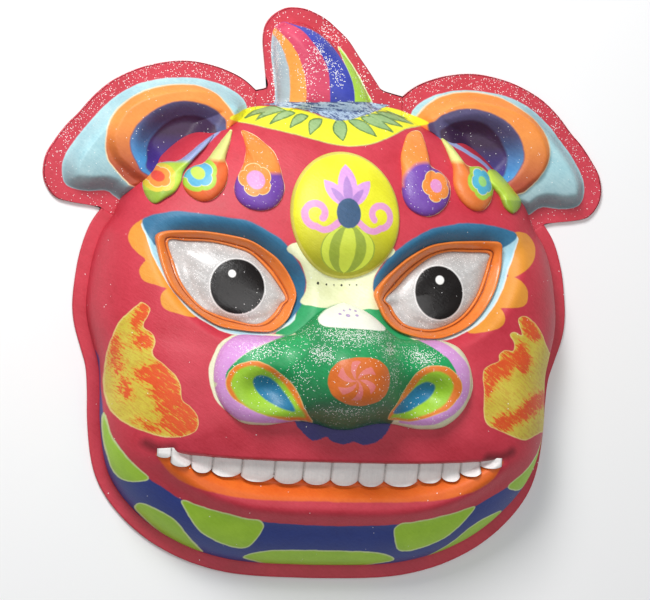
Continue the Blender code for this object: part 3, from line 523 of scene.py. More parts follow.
def add_piece(name, surface, materials, node, join_rows=False, join_columns=True, hidden_from=None,
              paint=None, cap_pairs=0):
    """A piece from a grid of points, with its paint distances, which rides on the mask and replaces a node.

    Rows from hidden_from on take the second material. cap_pairs closes both end columns of a thick sheet
    whose first rows are its front and whose last rows are its back.
    """
    rows, columns = surface.shape[:2]
    faces = grid_faces(rows, columns, join_rows, join_columns)
    hidden = np.zeros(len(faces), int)
    if hidden_from is not None:
        cells = columns if join_columns else columns - 1
        hidden = (np.arange(len(faces)) // cells >= hidden_from).astype(int)
    if cap_pairs:
        row = np.arange(cap_pairs - 1)
        back = 2 * cap_pairs - 1 - row
        start = np.stack([row, row + 1, back - 1, back], axis=-1) * columns
        faces = np.vstack([faces, start, start[:, ::-1] + columns - 1])
        hidden = np.append(hidden, np.zeros(2 * len(row), int))
    sharp = np.arange(len(faces)) >= len(faces) - (2 * (cap_pairs - 1) if cap_pairs else 0)
    mesh = bpy.data.meshes.new(name)
    mesh.vertices.add(rows * columns)
    mesh.vertices.foreach_set("co", surface.reshape(-1))
    mesh.loops.add(faces.size)
    mesh.loops.foreach_set("vertex_index", faces.reshape(-1))
    mesh.polygons.add(len(faces))
    mesh.polygons.foreach_set("loop_start", np.arange(len(faces)) * 4)
    mesh.update(calc_edges=True)
    mesh.polygons.foreach_set("material_index", hidden)
    mesh.polygons.foreach_set("use_smooth", ~sharp)
    for key, values in (paint or {}).items():
        full = np.full((rows, columns), UNPAINTED)
        full[:len(values)] = values
        field = mesh.attributes.new(key, "FLOAT", "POINT")
        field.data.foreach_set("value", full.reshape(-1).astype(np.float32))
    edit = bmesh.new()
    edit.from_mesh(mesh)
    bmesh.ops.remove_doubles(edit, verts=edit.verts, dist=1e-7)
    edit.to_mesh(mesh)
    edit.free()
    for material in materials:
        mesh.materials.append(material)
    made = bpy.data.objects.new(name, mesh)
    bpy.context.scene.collection.objects.link(made)
    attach(made, "root")
    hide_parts(node)


def surface_normals(surface, join_columns):
    """Unit normals of a grid: the cross product of its steps along a row and from row to row."""
    down = np.gradient(surface, axis=0)
    if join_columns:
        along = (np.roll(surface, -1, axis=1) - np.roll(surface, 1, axis=1)) / 2
    else:
        along = np.gradient(surface, axis=1)
    normal = np.cross(along, down)
    length = np.linalg.norm(normal, axis=-1, keepdims=True)
    return np.where(length > 1e-12, normal / np.maximum(length, 1e-12), [0, 0, 1])


def with_back(surface, plain, join_columns, keep_rows=None):
    """A front followed by its back, one wall thickness behind the plain sheet and not below the floor.

    keep_rows picks the rows of the plain sheet that the back repeats, from the outermost inwards.
    """
    normal = surface_normals(plain, join_columns)
    normal[..., 2] = np.maximum(normal[..., 2], FLATTEST_BACK)
    back = plain - WALL * normal / np.linalg.norm(normal, axis=-1, keepdims=True)
    back[..., 2] = np.maximum(back[..., 2], 0)
    back = back[keep_rows] if keep_rows is not None else back
    return np.concatenate([surface, back[::-1]])


# Paint shapes read off the photograph, in its pixels, on the side of the face that each one names
HAIR_BAND = ((230, 119), (238, 113), (248, 108), (265, 106), (286, 108), (309, 112), (325, 118), (342, 119),
    (362, 116), (376, 110), (387, 107), (412, 115), (429, 123), (417, 126), (405, 129), (387, 138),
    (370, 144), (352, 146), (332, 144), (314, 139), (286, 132), (251, 124))

# Leaves on the band: base, tip, half width and bend, in pixels
LEAVES = ((283, 109, 245, 118, 3.2, -4), (286, 110, 255, 121, 3.0, -4), (295, 113, 270, 124, 3.6, -3),
    (308, 116, 290, 128, 4.2, -3), (322, 119, 310, 135, 5.4, -3), (338, 119, 343, 141, 7.0, 0),
    (348, 120, 377, 137, 4.4, 2), (360, 117, 393, 132, 4.0, 2), (367, 114, 403, 127, 3.2, 1),
    (376, 112, 413, 124, 2.6, 1), (385, 110, 418, 121, 2.2, 1))

LEFT_BROW = ((142, 222), (149, 216), (162, 213), (178, 211), (206, 214), (232, 218), (251, 221.5), (270, 232),
    (283, 241), (294.5, 256.5), (302, 269), (306, 279.5), (305, 292), (301, 305), (292, 318), (284, 322),
    (284, 300), (260, 262), (230, 245), (190, 240), (160, 246), (151, 240))
LEFT_PALE = ((141, 223), (146, 237), (153, 256.5), (162, 274), (172, 290), (184, 305), (196, 316.5),
    (212, 326), (224, 332), (240, 335.5), (262, 336), (280, 330), (296, 316), (280, 290), (230, 262),
    (170, 238), (152, 226))
RIGHT_BROW = ((373, 292), (374, 279), (382, 266.5), (392, 254), (411, 240), (430, 229.5), (449, 225),
    (468, 223), (488, 225), (507, 229.5), (517, 235), (510, 244), (490, 252), (450, 256), (410, 272),
    (390, 292), (386, 312), (377, 303))
RIGHT_PALE = ((374, 286), (377, 303), (386, 321), (398, 331), (413, 337.5), (432, 341), (449, 339.5),
    (466, 332), (480, 323), (493, 308), (502, 291), (508, 272), (514, 254), (518, 237), (502, 238),
    (480, 262), (430, 280), (400, 296))
LEFT_SCALLOPS = (((146, 219), (135, 224), (129.5, 232), (129, 242), (137, 252), (153, 262), (160, 250),
    (152, 230)), ((154, 257), (145, 261), (139.5, 269), (142, 279), (153, 284), (171, 288), (176, 280),
    (164, 262)), ((172, 286), (163, 292), (160.5, 299), (164, 308), (176, 313), (196, 317), (196, 305),
    (180, 288)))
RIGHT_SCALLOPS = (((514, 233), (525, 233), (532, 240), (535.5, 250), (533, 262), (524, 272), (510, 277),
    (503, 262), (508, 245)), ((507, 277), (518, 279), (526, 287), (528, 297), (524, 306), (510, 308),
    (492, 306), (490, 292)), ((490, 305), (500, 308), (505, 317), (502, 326), (490, 331), (469, 333),
    (466, 322), (478, 310)))
LEFT_FLAME = ((142, 302), (150, 308), (149, 314), (144, 323), (145, 328), (153, 334), (156, 342), (153, 351),
    (156, 358), (165, 365), (176, 376), (181, 387), (182, 399), (191, 407.5), (197.5, 416), (199, 424.5),
    (194.5, 432), (181, 437), (164, 437), (150, 433), (133, 426), (119, 414), (112, 399), (108.5, 384.5),
    (108.5, 365), (112, 342), (118, 325), (128, 313), (138, 304.5))
RIGHT_FLAME = ((525, 316), (533, 321.5), (540, 331), (545, 344.5), (550, 365), (551, 393), (547, 412),
    (539, 428), (528, 438), (521, 440), (508.5, 435), (496, 429), (489, 426), (484, 417), (484, 393),
    (483, 372), (490, 365), (499, 361), (499, 355), (505, 350), (513, 351), (514, 343), (510, 335),
    (514.5, 332), (522, 335), (518, 320))
BRIDGE = ((287, 248), (300, 262), (306, 280), (305, 292), (301, 303), (318, 307), (333, 309), (352, 312),
    (366, 309), (380, 309), (376, 298), (373, 288), (375, 276), (384, 262), (395, 250), (370, 240),
    (310, 240))
CREAM_FLAP = ((332, 306), (322, 313), (318, 319), (322, 325), (335, 327.5), (360, 329), (383, 331),
    (384, 326), (375, 317), (366, 306), (350, 300))
BRIDGE_DOTS = ((318, 283.2), (326.5, 284.6), (334, 285.2), (341.5, 285.2), (349.5, 285.2), (356.5, 285.2),
    (361, 284.8))
BRIDGE_DOT_RADII = (1.5, 1.2, 1.1, 1.2, 1.0, 1.1, 0.8)

NAVY_BAND = ((97, 350), (104, 380), (109, 405), (111, 415), (118, 436), (134, 461), (150, 478), (169, 491),
    (183, 500), (207, 509), (224, 515), (250, 520), (290, 524), (340, 526), (400, 524), (420, 600), (60, 600),
    (60, 350))
LIME_CELLS = (((111, 412), (107, 428), (109, 447), (114, 466), (122, 478), (136, 482), (151, 478), (135, 462),
    (119, 438)), ((135, 507), (142, 503), (156, 508), (169, 515), (179.5, 524), (190, 538), (203, 552),
    (180, 545), (155, 529), (140, 514)), ((183, 500), (187, 512), (197, 528), (208, 537), (220, 543),
    (234, 547.5), (247, 547.5), (256, 540), (262, 531), (264, 525), (259, 520), (245, 518), (207, 508)),
    ((243, 557), (263, 551), (298, 550), (340, 551), (360, 554), (345, 570), (290, 570), (258, 562)))
GUM = ((160, 459), (172, 474), (191, 485.5), (216, 493), (242, 498), (270, 500.5), (320, 501.5), (366, 502.5),
    (412, 502), (440, 500), (467, 494), (481, 488), (493, 479), (500, 467), (501, 461), (473, 465),
    (412, 469), (366, 468), (320, 466), (268, 464), (242, 463), (216, 460), (195, 456), (171, 452),
    (158, 453))
MOUSTACHE = ((294, 412), (296, 424), (302, 432), (310, 439), (318, 440), (326, 437), (334, 442), (344, 444),
    (354, 442), (364, 445), (374, 443), (382, 438), (388, 430), (391, 416), (360, 420), (330, 422))

NOSE_SIDE = ((300, 302), (306, 304), (330, 306), (366, 306), (374, 300), (382, 313), (392, 323), (404, 331),
    (416, 339), (404, 348), (350, 352), (284, 342), (276, 332), (288, 324), (296, 314))
FLAP_DABS = ((340, 314, 1.6, 1.1), (344, 310.5, 1.3, 1.0), (350, 309.5, 1.3, 1.0), (355.5, 311, 1.4, 1.0),
    (348, 315.5, 2.2, 1.5), (357, 315.5, 1.8, 1.2))

# Where the orange is scumbled over a cheek flame
LEFT_SCORCH = (((133, 325), (134, 316), (140, 306), (147, 302), (150, 308), (147, 318), (141, 326)),
    ((135, 337), (141, 332), (149, 333), (153, 340), (151, 347), (142, 348), (136, 344)), ((113, 340),
    (117, 335), (121, 342), (122, 356), (124, 368), (120, 372), (115, 362), (112, 350)), ((126, 378),
    (131, 382), (134, 395), (130, 398), (125, 388)), ((137, 371), (150, 365), (160, 363), (170, 371),
    (178, 383), (181, 396), (189, 406), (196, 414), (199, 425), (194, 431), (180, 436), (166, 430),
    (158, 424), (163, 416), (158, 408), (163, 400), (154, 396), (150, 386), (142, 380)), ((140, 421),
    (150, 422), (160, 427), (160, 431), (148, 428)))
RIGHT_SCORCH = (((521, 318), (525, 316), (533, 322), (539, 332), (539, 340), (531, 338), (524, 330)),
    ((484, 372), (491, 364), (500, 360), (505, 351), (513, 352), (522, 343), (527, 352), (531, 362),
    (524, 372), (516, 368), (508, 376), (498, 380), (493, 390), (487, 398), (484, 388)), ((494, 424),
    (500, 416), (511, 414), (522, 406), (530, 396), (540, 392), (542, 400), (534, 410), (524, 420),
    (514, 424), (506, 432), (498, 431)))

# Ears in the photograph, closed where the head hides them
LEFT_EAR_RING = ((238, 122), (236, 118), (226, 103), (213, 91.5), (194, 85), (168, 85), (143, 91.5),
    (124, 103), (111, 118), (106, 137), (107, 156.5), (115, 169), (126, 181), (133, 186), (160, 190),
    (220, 160))
LEFT_EAR_INNER = ((226, 124), (221, 115), (210, 107), (194, 102), (175, 102), (156, 109), (139, 123),
    (131, 137), (131, 150), (136.5, 162), (144, 173), (170, 180), (220, 150))
LEFT_EAR_PIT = ((216, 128), (212, 123), (203, 117), (188, 115), (171, 119.5), (157, 131), (148, 144),
    (147, 156.5), (148, 170), (170, 176), (214, 145))
RIGHT_EAR_RING = ((413, 124), (417, 116), (428, 104), (445, 95), (470, 92), (498, 97), (523.5, 111),
    (540, 126), (549, 144), (549, 161), (540, 177), (529, 188), (519, 194), (490, 195), (430, 150))
RIGHT_EAR_INNER = ((428, 126), (435, 121), (446, 113.5), (467, 109), (487, 112), (507, 122), (519, 136),
    (524, 151), (522, 165), (509, 182), (490, 182), (440, 145))
RIGHT_EAR_PIT = ((440, 132), (446, 127), (456, 122), (473, 120), (487, 125), (498, 136), (506, 151),
    (507, 163), (501, 178), (480, 172), (446, 145))

# Teardrops in the photograph: centre, outline, flower's centre, size and heart, end of the tail, and ball
LEFT_DROPS = ({"centre": (259, 187), "outline": ((241.5, 130.3), (252, 134), (261, 140), (273, 151),
    (279, 163), (282, 175), (284.5, 187), (282, 198), (274, 207), (262, 210.5), (248, 208), (238, 200),
    (234.5, 189), (237, 178), (243, 166), (246, 153.6), (245, 141.5)), "flower": (255.5, 180, 15.5, 8.6),
    "tail_below": 173}, {"centre": (205.5, 180), "outline": ((231.5, 129), (231, 137), (228, 148),
    (225.5, 160), (228, 169), (227, 181), (222, 191), (213, 199), (203, 201.5), (193, 198), (185, 190),
    (183, 181), (186, 172), (194, 166), (204, 163), (213, 152), (222, 140)), "flower": (198, 173, 13.5, 6.2),
    "tail_below": 160}, {"centre": (161, 182), "outline": ((222, 129.3), (205, 147), (190, 163), (183.5, 172),
    (181, 182), (175, 192), (166, 198), (156, 203.5), (149, 200), (144, 191), (143, 181), (147, 170),
    (156, 164), (168, 161.5), (180, 160), (200, 144)), "flower": (157.8, 176, 11.0, 5.4), "tail_below": 161})
RIGHT_DROPS = ({"centre": (427, 190), "outline": ((409, 133), (419.4, 131.4), (424, 140), (428, 153.6),
    (431, 166), (441, 172), (449, 182), (450, 195), (445, 207), (434, 215), (422, 215.5), (410, 209),
    (403.5, 198), (402, 185), (402, 170), (401, 157), (404.6, 142)), "flower": (435.5, 186, 15.0, 6.4),
    "tail_below": 187, "ball": (427, 187, 24)}, {"centre": (474, 189), "outline": ((441, 137.4), (449, 143),
    (459.3, 156), (468, 166), (480, 167), (489, 175), (493, 187), (491, 200), (484, 209.5), (474, 210.5),
    (464, 204), (457, 194), (453.5, 183), (453.4, 171), (451.5, 163), (446, 149)),
    "flower": (482, 181.5, 13.0, 5.0), "tail_below": 163}, {"centre": (505, 192), "outline": ((489, 170),
    (498, 171), (505, 178), (513, 190), (521, 201), (519, 209), (512.6, 213.5), (505, 208), (500, 197),
    (494, 189), (488, 180)), "flower": (516, 184, 9.0, 4.6), "tail_below": 150})
# Painted shade at the mouth's corners: the half width of its dark strokes, and their lines in pixels, are set
# below
MOUTH_CORNER_SHADE_HALF_WIDTH = 0.003
THIN_TAIL_HALF_WIDTH = 0.0016
MOUTH_CORNER_SHADE_LINES = (((148, 443), (157, 447.5), (172, 448)), ((511, 452), (502, 457), (488, 458)))
THIN_TAIL = ((441, 137.4), (455, 145), (470, 154), (482, 162), (491, 171))

# Horn in the photograph: a column left of it, a row below it, the lime flank, and the slate band at its foot
BESIDE_HORN = 240
BELOW_HORN = 122
PAST_TIP = (8, 16)
HORN_PAINT_OUT = 1.2    # how far in mm the paint runs past the horn's body, and stays inside an ear's
EAR_PAINT_IN = 0.6
HORN_LIME = ((338, 46), (348, 58), (358, 74), (367, 92), (372, 104), (354, 106), (354, 92), (350, 76),
    (343, 60))
HORN_FOOT_BAND = ((262, 104), (276, 102.5), (300, 102), (340, 102), (370, 102.5), (389, 105), (375, 111.5),
    (358, 117.5), (343, 120.5), (330, 118.5), (312, 112), (292, 107.5), (276, 105.5))

# Height on the mask where the glitter of an ear's rim, painted as white glints, gets thicker, and over what
# length
SPARKLE_FROM_Y = 0.075
SPARKLE_RAMP = 0.03

# Glitter painted as white glints where it lies thick: middle, spread across and up in pixels, and the share
# of cells that carry a flake
NOSE_SPARKLE = ((355, 336, 30, 8, 0.75), (322, 354, 9, 7, 0.9), (262, 349, 22, 7, 0.6),
    (422, 357, 15, 7, 0.9), (348, 412, 22, 4, 0.3), (300, 378, 6, 14, 0.3), (395, 372, 6, 12, 0.3),
    (390, 350, 10, 6, 0.6))
HORN_SPARKLE = ((319, 52, 6, 8, 0.9), (328, 64, 6, 8, 0.8), (338, 76, 5, 9, 0.8), (276, 62, 3, 36, 0.7),
    (308, 76, 8, 22, 0.35), (331, 35, 14, 8, 0.5), (362, 82, 6, 14, 0.4))

# Nose paint
LEFT_CREAM = ((296, 334), (270, 330), (254, 328), (232, 331), (217, 341), (208, 358), (205, 372), (208, 390),
    (215, 405), (227, 416), (240, 424), (265, 427), (297, 424), (296, 416), (262, 400), (236, 384),
    (240, 360), (262, 346))
LEFT_LILAC = ((287, 335.5), (268, 333), (250, 331.5), (234, 333.5), (222, 341), (214, 352), (209, 367),
    (210, 378), (216, 383), (217, 384), (212, 393), (216, 404), (228, 413), (240, 420), (262, 423),
    (296, 421), (290, 412), (250, 400), (230, 380), (232, 366), (246, 353), (266, 343))
LEFT_GREEN_EDGE = ((290, 335), (268, 343), (247, 353), (232, 365), (226, 374), (227, 380), (240, 384),
    (262, 380), (300, 360), (310, 340))
RIGHT_CREAM = ((398, 334), (422, 335), (446, 339), (463, 352), (473, 366), (476, 382), (474, 397), (464, 413),
    (448, 425), (428, 430), (404, 428), (390, 424), (420, 400), (450, 380), (446, 362), (430, 350),
    (410, 342))
RIGHT_LILAC = ((404, 337), (424, 338), (443, 342.5), (458, 353), (468, 366), (470, 381), (468, 395),
    (459, 410), (443, 421), (428, 425.5), (406, 424), (400, 420), (430, 405), (452, 385), (449, 368),
    (440, 355), (424, 345))
RIGHT_GREEN_EDGE = ((398, 334), (420, 341), (438, 351), (450, 361), (457, 376), (446, 380), (420, 372),
    (395, 356))
LEFT_RING = ((296, 420), (286, 420), (262, 414), (240, 403), (229, 393), (226, 381), (231, 370), (240, 364),
    (254, 361), (266, 364), (278, 372), (292, 384), (299, 396), (304, 408), (312, 422), (306, 421))
LEFT_LIME = ((298, 417), (284, 417), (262, 414), (246, 406), (236, 396), (231, 384), (235, 373), (245, 367),
    (256, 366), (268, 371), (281, 381), (291, 393), (298, 405), (306, 417))
LEFT_NOSTRIL = ((293, 412), (281, 408), (269, 402), (259, 394), (254, 386), (254, 378), (261, 375),
    (270, 378), (279, 386), (287, 396), (295, 409))
RIGHT_RING = ((398, 420), (412, 421), (432, 416), (448, 409), (459, 397), (462, 386), (457, 375), (446, 367),
    (431, 366), (418, 372), (407, 386), (398, 402), (388, 418))
RIGHT_LIME = ((396, 418), (410, 419), (430, 413), (444, 405), (452, 393), (453, 383), (447, 375), (436, 371),
    (423, 377), (412, 390), (400, 407), (390, 418))
RIGHT_NOSTRIL = ((394, 414), (406, 412), (418, 406), (429, 398), (435, 390), (434, 384), (426, 382),
    (416, 387), (405, 398), (396, 408))
TIP_MIDDLE = (357.5, 381)
TIP_OVAL = ((328, 381), (331, 370), (340, 361), (356, 357.5), (374, 358.5), (385, 365), (390, 376),
    (388, 390), (381, 400), (366, 405.5), (350, 405), (337, 399), (330, 391))

# Eyes in the photograph: white, outer edge of the lid, pupil and its radii, painted gleam and its radius
LEFT_WHITE = ((169, 241), (187, 241), (213, 242.5), (236, 248), (251, 254), (265, 267), (276, 281),
    (286, 298), (281, 304), (274, 314), (264, 322), (252, 324), (235, 320), (219, 315), (204, 308),
    (191, 295), (181, 279.5), (175, 263))
LEFT_LID = ((156, 236), (165, 231), (181, 230), (206, 231), (232, 235), (251, 240), (267, 249.5), (280, 260),
    (291, 276), (297, 292), (295, 304), (288, 320), (274, 331), (258, 332), (238, 330), (219, 326),
    (200, 315), (184, 301), (171, 286), (163, 268), (158, 250))
LEFT_PUPIL = (236.6, 286.5, 26.5, 26.8)
LEFT_GLEAM = (231, 273.5, 3.8)
RIGHT_WHITE = ((489, 254), (468, 252.5), (447, 252.5), (429, 259), (411, 273), (398, 287), (386, 299),
    (392, 306), (397, 315), (406, 324), (419, 328), (434, 329), (452, 323), (466, 312), (477, 296),
    (484, 278), (488, 264))
RIGHT_LID = ((502, 243), (491, 241), (468, 241), (449, 242), (430, 246), (410, 257), (393, 271), (382, 282),
    (375, 293), (379, 306), (385, 319), (396, 330), (411, 336), (428, 339), (444, 338), (462, 331),
    (476, 321), (488, 306), (497, 288), (502, 268), (503, 254))
RIGHT_PUPIL = (438, 292.7, 24.8, 26.4)
RIGHT_GLEAM = (438.4, 280, 4.4)

# Teeth: their edges across the photograph, and the lowest point of each
TOOTH_EDGES = (158, 172.5, 195, 217, 246, 279, 308, 336, 363, 388.5, 422, 446, 465.5, 484.5, 503)
TEETH_TOP = ((157, 451), (171, 450), (195, 452), (216, 455), (242, 458), (268, 459), (293, 460.6),
    (320, 460.6), (366, 463), (412, 464), (450, 463), (473, 460.5), (500, 460), (504, 461))
TOOTH_BOTTOMS = (458, 467, 473, 477, 482, 484, 485, 486, 487, 487, 483.5, 482, 477, 469)

# Stripes of the horn from the left: each one's right-hand edge from its base up, in pixels
HORN_STRIPES = (((289, 106), (290, 85), (288, 65), (282, 48), (275, 36)), ((306, 106), (306, 85), (302, 65),
    (293, 46), (277, 29)), ((330, 106), (330, 85), (327, 66), (315, 45), (300, 29), (284, 22)), ((355, 106),
    (354, 90), (350, 75), (341, 58), (329, 43), (312, 30), (284, 22)))


# Ornament of the boss in mm from its middle; petals are lean, length and half width
SEED_RADIUS = 8.3
SEED_SQUASH = 0.84
PETAL_FOOT = 5
PETALS = ((0.0, 29, 6.5), (0.72, 24, 5.0))
PETAL_HEARTS = ((0.0, 21, 3.2), (0.72, 17, 2.3))
FRUIT_Y = -23
FRUIT_HALF_WIDTH = 18.5
FRUIT_HALF_HEIGHT = 15.5
FRUIT_MEAN = 15
RIBS = 6
RIB_DEPTH = 2.2
RIB_MARGIN = 1.2
CURL_MIDDLE = (21.6, 0.2)
CURL_REACH = 8.6
CURL_SHRINK = 0.42
CURL_START = -0.42 * math.pi
CURL_END = 1.2 * math.pi
STEM_HALF_WIDTH = 0.0022
CURL_HALF_WIDTH = 0.0023

# Flower of a drop: depth of the cuts between petals, their roundness, the ring round it, how much taller
# than wide it is, and its height as a share of the drop's
PETAL_CUT = 0.20
PETAL_ROUND = 0.6
FLOWER_RING = 4.5
FLOWER_TALL = 1.06
CREST = 0.7

# Where an ear's painted light and shade start, downwards from there, and the pinwheel on the nose tip in mm
EAR_LOW_Y = 0.105
PINWHEEL_ARMS = 6
PINWHEEL_TWIST = 0.35
PINWHEEL_RADIUS = 13

# The hollow face and its rim
FACE_COLUMNS = (60, 80, 160)     # steps of half the outline: beside the horn, beside an ear, along the cheek
FACE_ROWS = 128
FACE_BACK_STEP = 8
LAP = 0.004                      # how far the face reaches in under the nose, and how far it bends down
LAP_STEP = 0.003
RIM_ROUNDING = 0.0009
RIM_ROWS = 8
NO_RIM = 0.0001                  # width left where an ear or the horn brings its own rim
ABOVE_RIM = 0.0006               # how far above the rim the pattern of the wall ends
PROFILE_STEPS = 260


def face_grid():
    """Places in plan of the face's grid and the height of each, nose to foot, even along the slope.

    On each spoke from the nose tip a fine profile is laid from the outline of the nose to the foot of the
    wall, close together at the foot by a sine. Its length along the slope is cut into equal parts.
    """
    foot = mirrored(foot_line(*FACE_COLUMNS))
    offset = foot[:, :2] - NOSE_CENTRE
    reach = np.linalg.norm(offset, axis=1)
    angle = np.arctan2(offset[:, 1], np.abs(offset[:, 0]))
    nose = NOSE_REACH * nose_reach(angle) / reach
    step = np.sin(np.linspace(0, math.pi / 2, PROFILE_STEPS))[:, None]
    share = nose + (1 - nose) * step
    fine = NOSE_CENTRE + share[..., None] * offset
    height = face_height(fine)
    run = np.hypot(np.diff(share, axis=0) * reach, np.diff(height, axis=0))
    length = np.concatenate([np.zeros((1, len(foot))), np.cumsum(run, axis=0)])
    length = length / length[-1] + 2 * np.arange(len(foot))
    wanted = np.linspace(0, 1, FACE_ROWS)[:, None] + 2 * np.arange(len(foot))
    even = np.interp(wanted.T.ravel(), length.T.ravel(), share.T.ravel()).reshape(len(foot), FACE_ROWS).T
    points = NOSE_CENTRE + even[..., None] * offset
    return foot, points, face_height(points)


def on_face(points, height):
    """Points in space from places and heights, with the cheeks swollen outwards."""
    bulge = cheek_bulge(points, height)
    flat = points + np.stack([np.sign(points[..., 0]) * bulge, np.zeros_like(bulge)], axis=-1)
    return np.concatenate([flat, height[..., None]], axis=-1)


def rounded_edge(surface, radius=RIM_ROUNDING, steps=4):
    """A sheet whose last row ends in a quarter circle, turned down by its radius."""
    last = surface[-1]
    inward = surface[-2] - last
    inward[..., 2] = 0
    inward = inward / np.maximum(np.linalg.norm(inward, axis=-1, keepdims=True), 1e-9)
    turn = np.linspace(0, math.pi / 2, steps)[:, None, None]
    quarter = last + inward * radius * (1 - np.sin(turn))
    quarter = quarter - np.array([0, 0, radius]) * (1 - np.cos(turn))
    quarter[..., 2] = np.maximum(quarter[..., 2], 0)
    return np.concatenate([surface[:-1], quarter])


def face_surface():
    """Front of the face: the lap under the nose, the slope, and the flat rim beyond its foot."""
    foot, points, height = face_grid()
    cheek = (foot[:, 1] <= CHEEK_FOOT[0][1] * HEIGHT / 2).astype(float)
    floor = WALL * cheek
    front = on_face(points, np.maximum(height, floor))
    direction = foot[:, :2] - NOSE_CENTRE
    direction = direction / np.linalg.norm(direction, axis=1)[:, None]
    lap = np.concatenate([points[0] - LAP * direction, (height[0] - LAP_STEP)[:, None]], axis=-1)
    outline = foot[:, :2]
    along = np.roll(outline, -1, axis=0) - np.roll(outline, 1, axis=0)
    outward = np.stack([-along[:, 1], along[:, 0]], axis=-1)
    outward = outward / np.linalg.norm(outward, axis=1)[:, None]
    width = np.where(cheek > 0, RIM_WIDTH, NO_RIM)
    steps = np.linspace(0, 1, RIM_ROWS)[1:, None]
    rim = outline + steps[..., None] * (width[:, None] * outward)
    rim = np.concatenate([rim, np.broadcast_to(floor, rim.shape[:2])[..., None]], axis=-1)
    surface = np.concatenate([lap[None], front, rim])
    return surface, points


# The nose, ears and horn
def nose_surface(columns=480, rows=112):
    """Front of the nose: rows from its tip to its outline, closer where it is steep, down to the face."""
    turn = np.linspace(math.pi / 2, -1.5 * math.pi, columns, endpoint=False)
    way = heading(turn)
    reach = NOSE_REACH * nose_reach(np.arctan2(way[:, 1], np.abs(way[:, 0])))
    share = np.sin(np.linspace(0, math.pi / 2, rows)) ** 0.9
    points = NOSE_CENTRE + share[:, None, None] * reach[:, None] * way
    return np.concatenate([points, nose_height(points)[..., None]], axis=-1), points


def beside_face(foot, rim, relief, rows):
    """A sheet from the wall of the face out to a rim: straight lines join equal shares of both edges.

    Its inner edge lies in the wall at its own height, where the wall's reach is the root, by how square it
    is, of 1 less the squared share of the dome's height.
    """
    share = np.linspace(0, 1, rows)[:, None, None]
    offset = foot[:, :2] - NOSE_CENTRE
    inner = foot[:, :2]
    for _ in range(6):
        level = np.clip((WALL + relief(inner) + EDGE_LAP) / DOME_HEIGHT, 0, 1)
        inner = NOSE_CENTRE + ((1 - level ** 2) ** (1 / foot[:, 2]))[:, None] * offset
    points = inner * (1 - share) + rim * share
    return np.concatenate([points, (WALL + relief(points))[..., None]], axis=-1), points


def edged_sheet(plain):
    """A sheet beside the face with its rounded edge and its back, and how many rows its front has."""
    surface = rounded_edge(plain)
    rows, last = len(surface), len(plain) - 1
    keep = np.concatenate([np.arange(last), np.full(rows - last, last)])
    return with_back(surface, plain, False, keep), rows


def ear_surface(side, columns=170, rows=96):
    """Front of an ear, from the wall of the face out to its rim, columns clockwise."""
    foot, rim = table_line(EAR_FOOT, columns)[::-1], table_line(EAR_RIM, columns)
    surface, points = beside_face(foot, rim, ear_relief, rows)
    surface, points = surface * np.array([side, 1, 1]), points * np.array([side, 1])
    return (surface[:, ::-1], points[:, ::-1]) if side > 0 else (surface, points)


def horn_surface(columns=129, rows=100):
    """Front of the horn, from the wall of the face out to its rim, columns clockwise."""
    half = table_line(HORN_FOOT, columns // 2 + 1)
    foot = np.vstack([half[:0:-1] * np.array([-1, 1, 1]), half])
    return beside_face(foot, table_line(HORN_RIM, columns), horn_relief, rows)


# Raised pieces on the face
def lens(centre, edge, height, square, rows):
    """A lens on the face: its edge from a closed line, its rise height times the root of 1 less q ** square.

    q is the share of the way out. The back follows the face just below it.
    """
    q = np.sin(np.linspace(0, math.pi / 2, rows))[:, None, None]
    points = centre + q * (edge - centre)
    rise = height * np.sqrt(np.clip(1 - q[..., 0] ** square, 0, 1))
    top = np.concatenate([points, (face_height(points) + rise)[..., None]], axis=-1)
    under = points[:: max(1, rows // 8)]
    back = np.concatenate([under, np.maximum(face_height(under) - SEAT, 0)[..., None]], axis=-1)
    return np.concatenate([top, back[::-1]]), points


def on_lid(points):
    """Height of the face under an eye's raised parts."""
    return face_height(points) + LID_LIFT


def by_angle(line, centre, count):
    """A closed line again at even turns round a centre, clockwise, by its reach in each direction."""
    turn = np.linspace(math.pi, -math.pi, count, endpoint=False)
    offset = line - centre
    angle = np.arctan2(offset[:, 1], offset[:, 0])
    order = np.argsort(angle)
    reach = np.interp(turn, angle[order], np.linalg.norm(offset[order], axis=1), period=2 * math.pi)
    return centre + reach[:, None] * heading(turn)


def eye_shapes(side, white, lid, columns=200):
    """Eyeball and lid of one eye, from the outlines of its white and its lid in the photograph.

    The ball is a lens. The lid is a ring whose section is a table of shares of its width and height: a bead
    beside the white, a shallow groove, and a flat band that rounds over at its outer edge.
    """
    centre = place(side * EYE_X, EYE_Y)
    inner = by_angle(seen_at(smooth_line(white, closed=True), on_lid), centre, columns)
    outer = by_angle(seen_at(smooth_line(lid, closed=True), on_lid), centre, columns)
    ball, ball_points = lens(centre, centre + (inner - centre) * UNDER_LID, EYE_BULGE, 2.5, 60)
    section = np.array(LID_SECTION)
    t, rise = section[:, :1], section[:, 1:]
    points = inner + t[..., None] * (outer - inner)
    height = face_height(points) + LID_HEIGHT * rise
    ring = np.concatenate([points, height[..., None]], axis=-1)
    return ball, ball_points, ring, np.broadcast_to(t, points.shape[:2])


def drop_surface(drop, columns=160):
    """Front of a drop: a lens whose outline and middle come from the photograph."""
    outline = seen_at(smooth_line(drop["outline"], closed=True), drop_foot)
    middle = seen_at([drop["centre"]], drop_foot)[0]
    return lens(middle, by_angle(outline, middle, columns), DROP_HEIGHT, 2.0, 60)


def drop_foot(points):
    """Height of the face along the outline of a drop."""
    return face_height(points) + DROP_LIFT


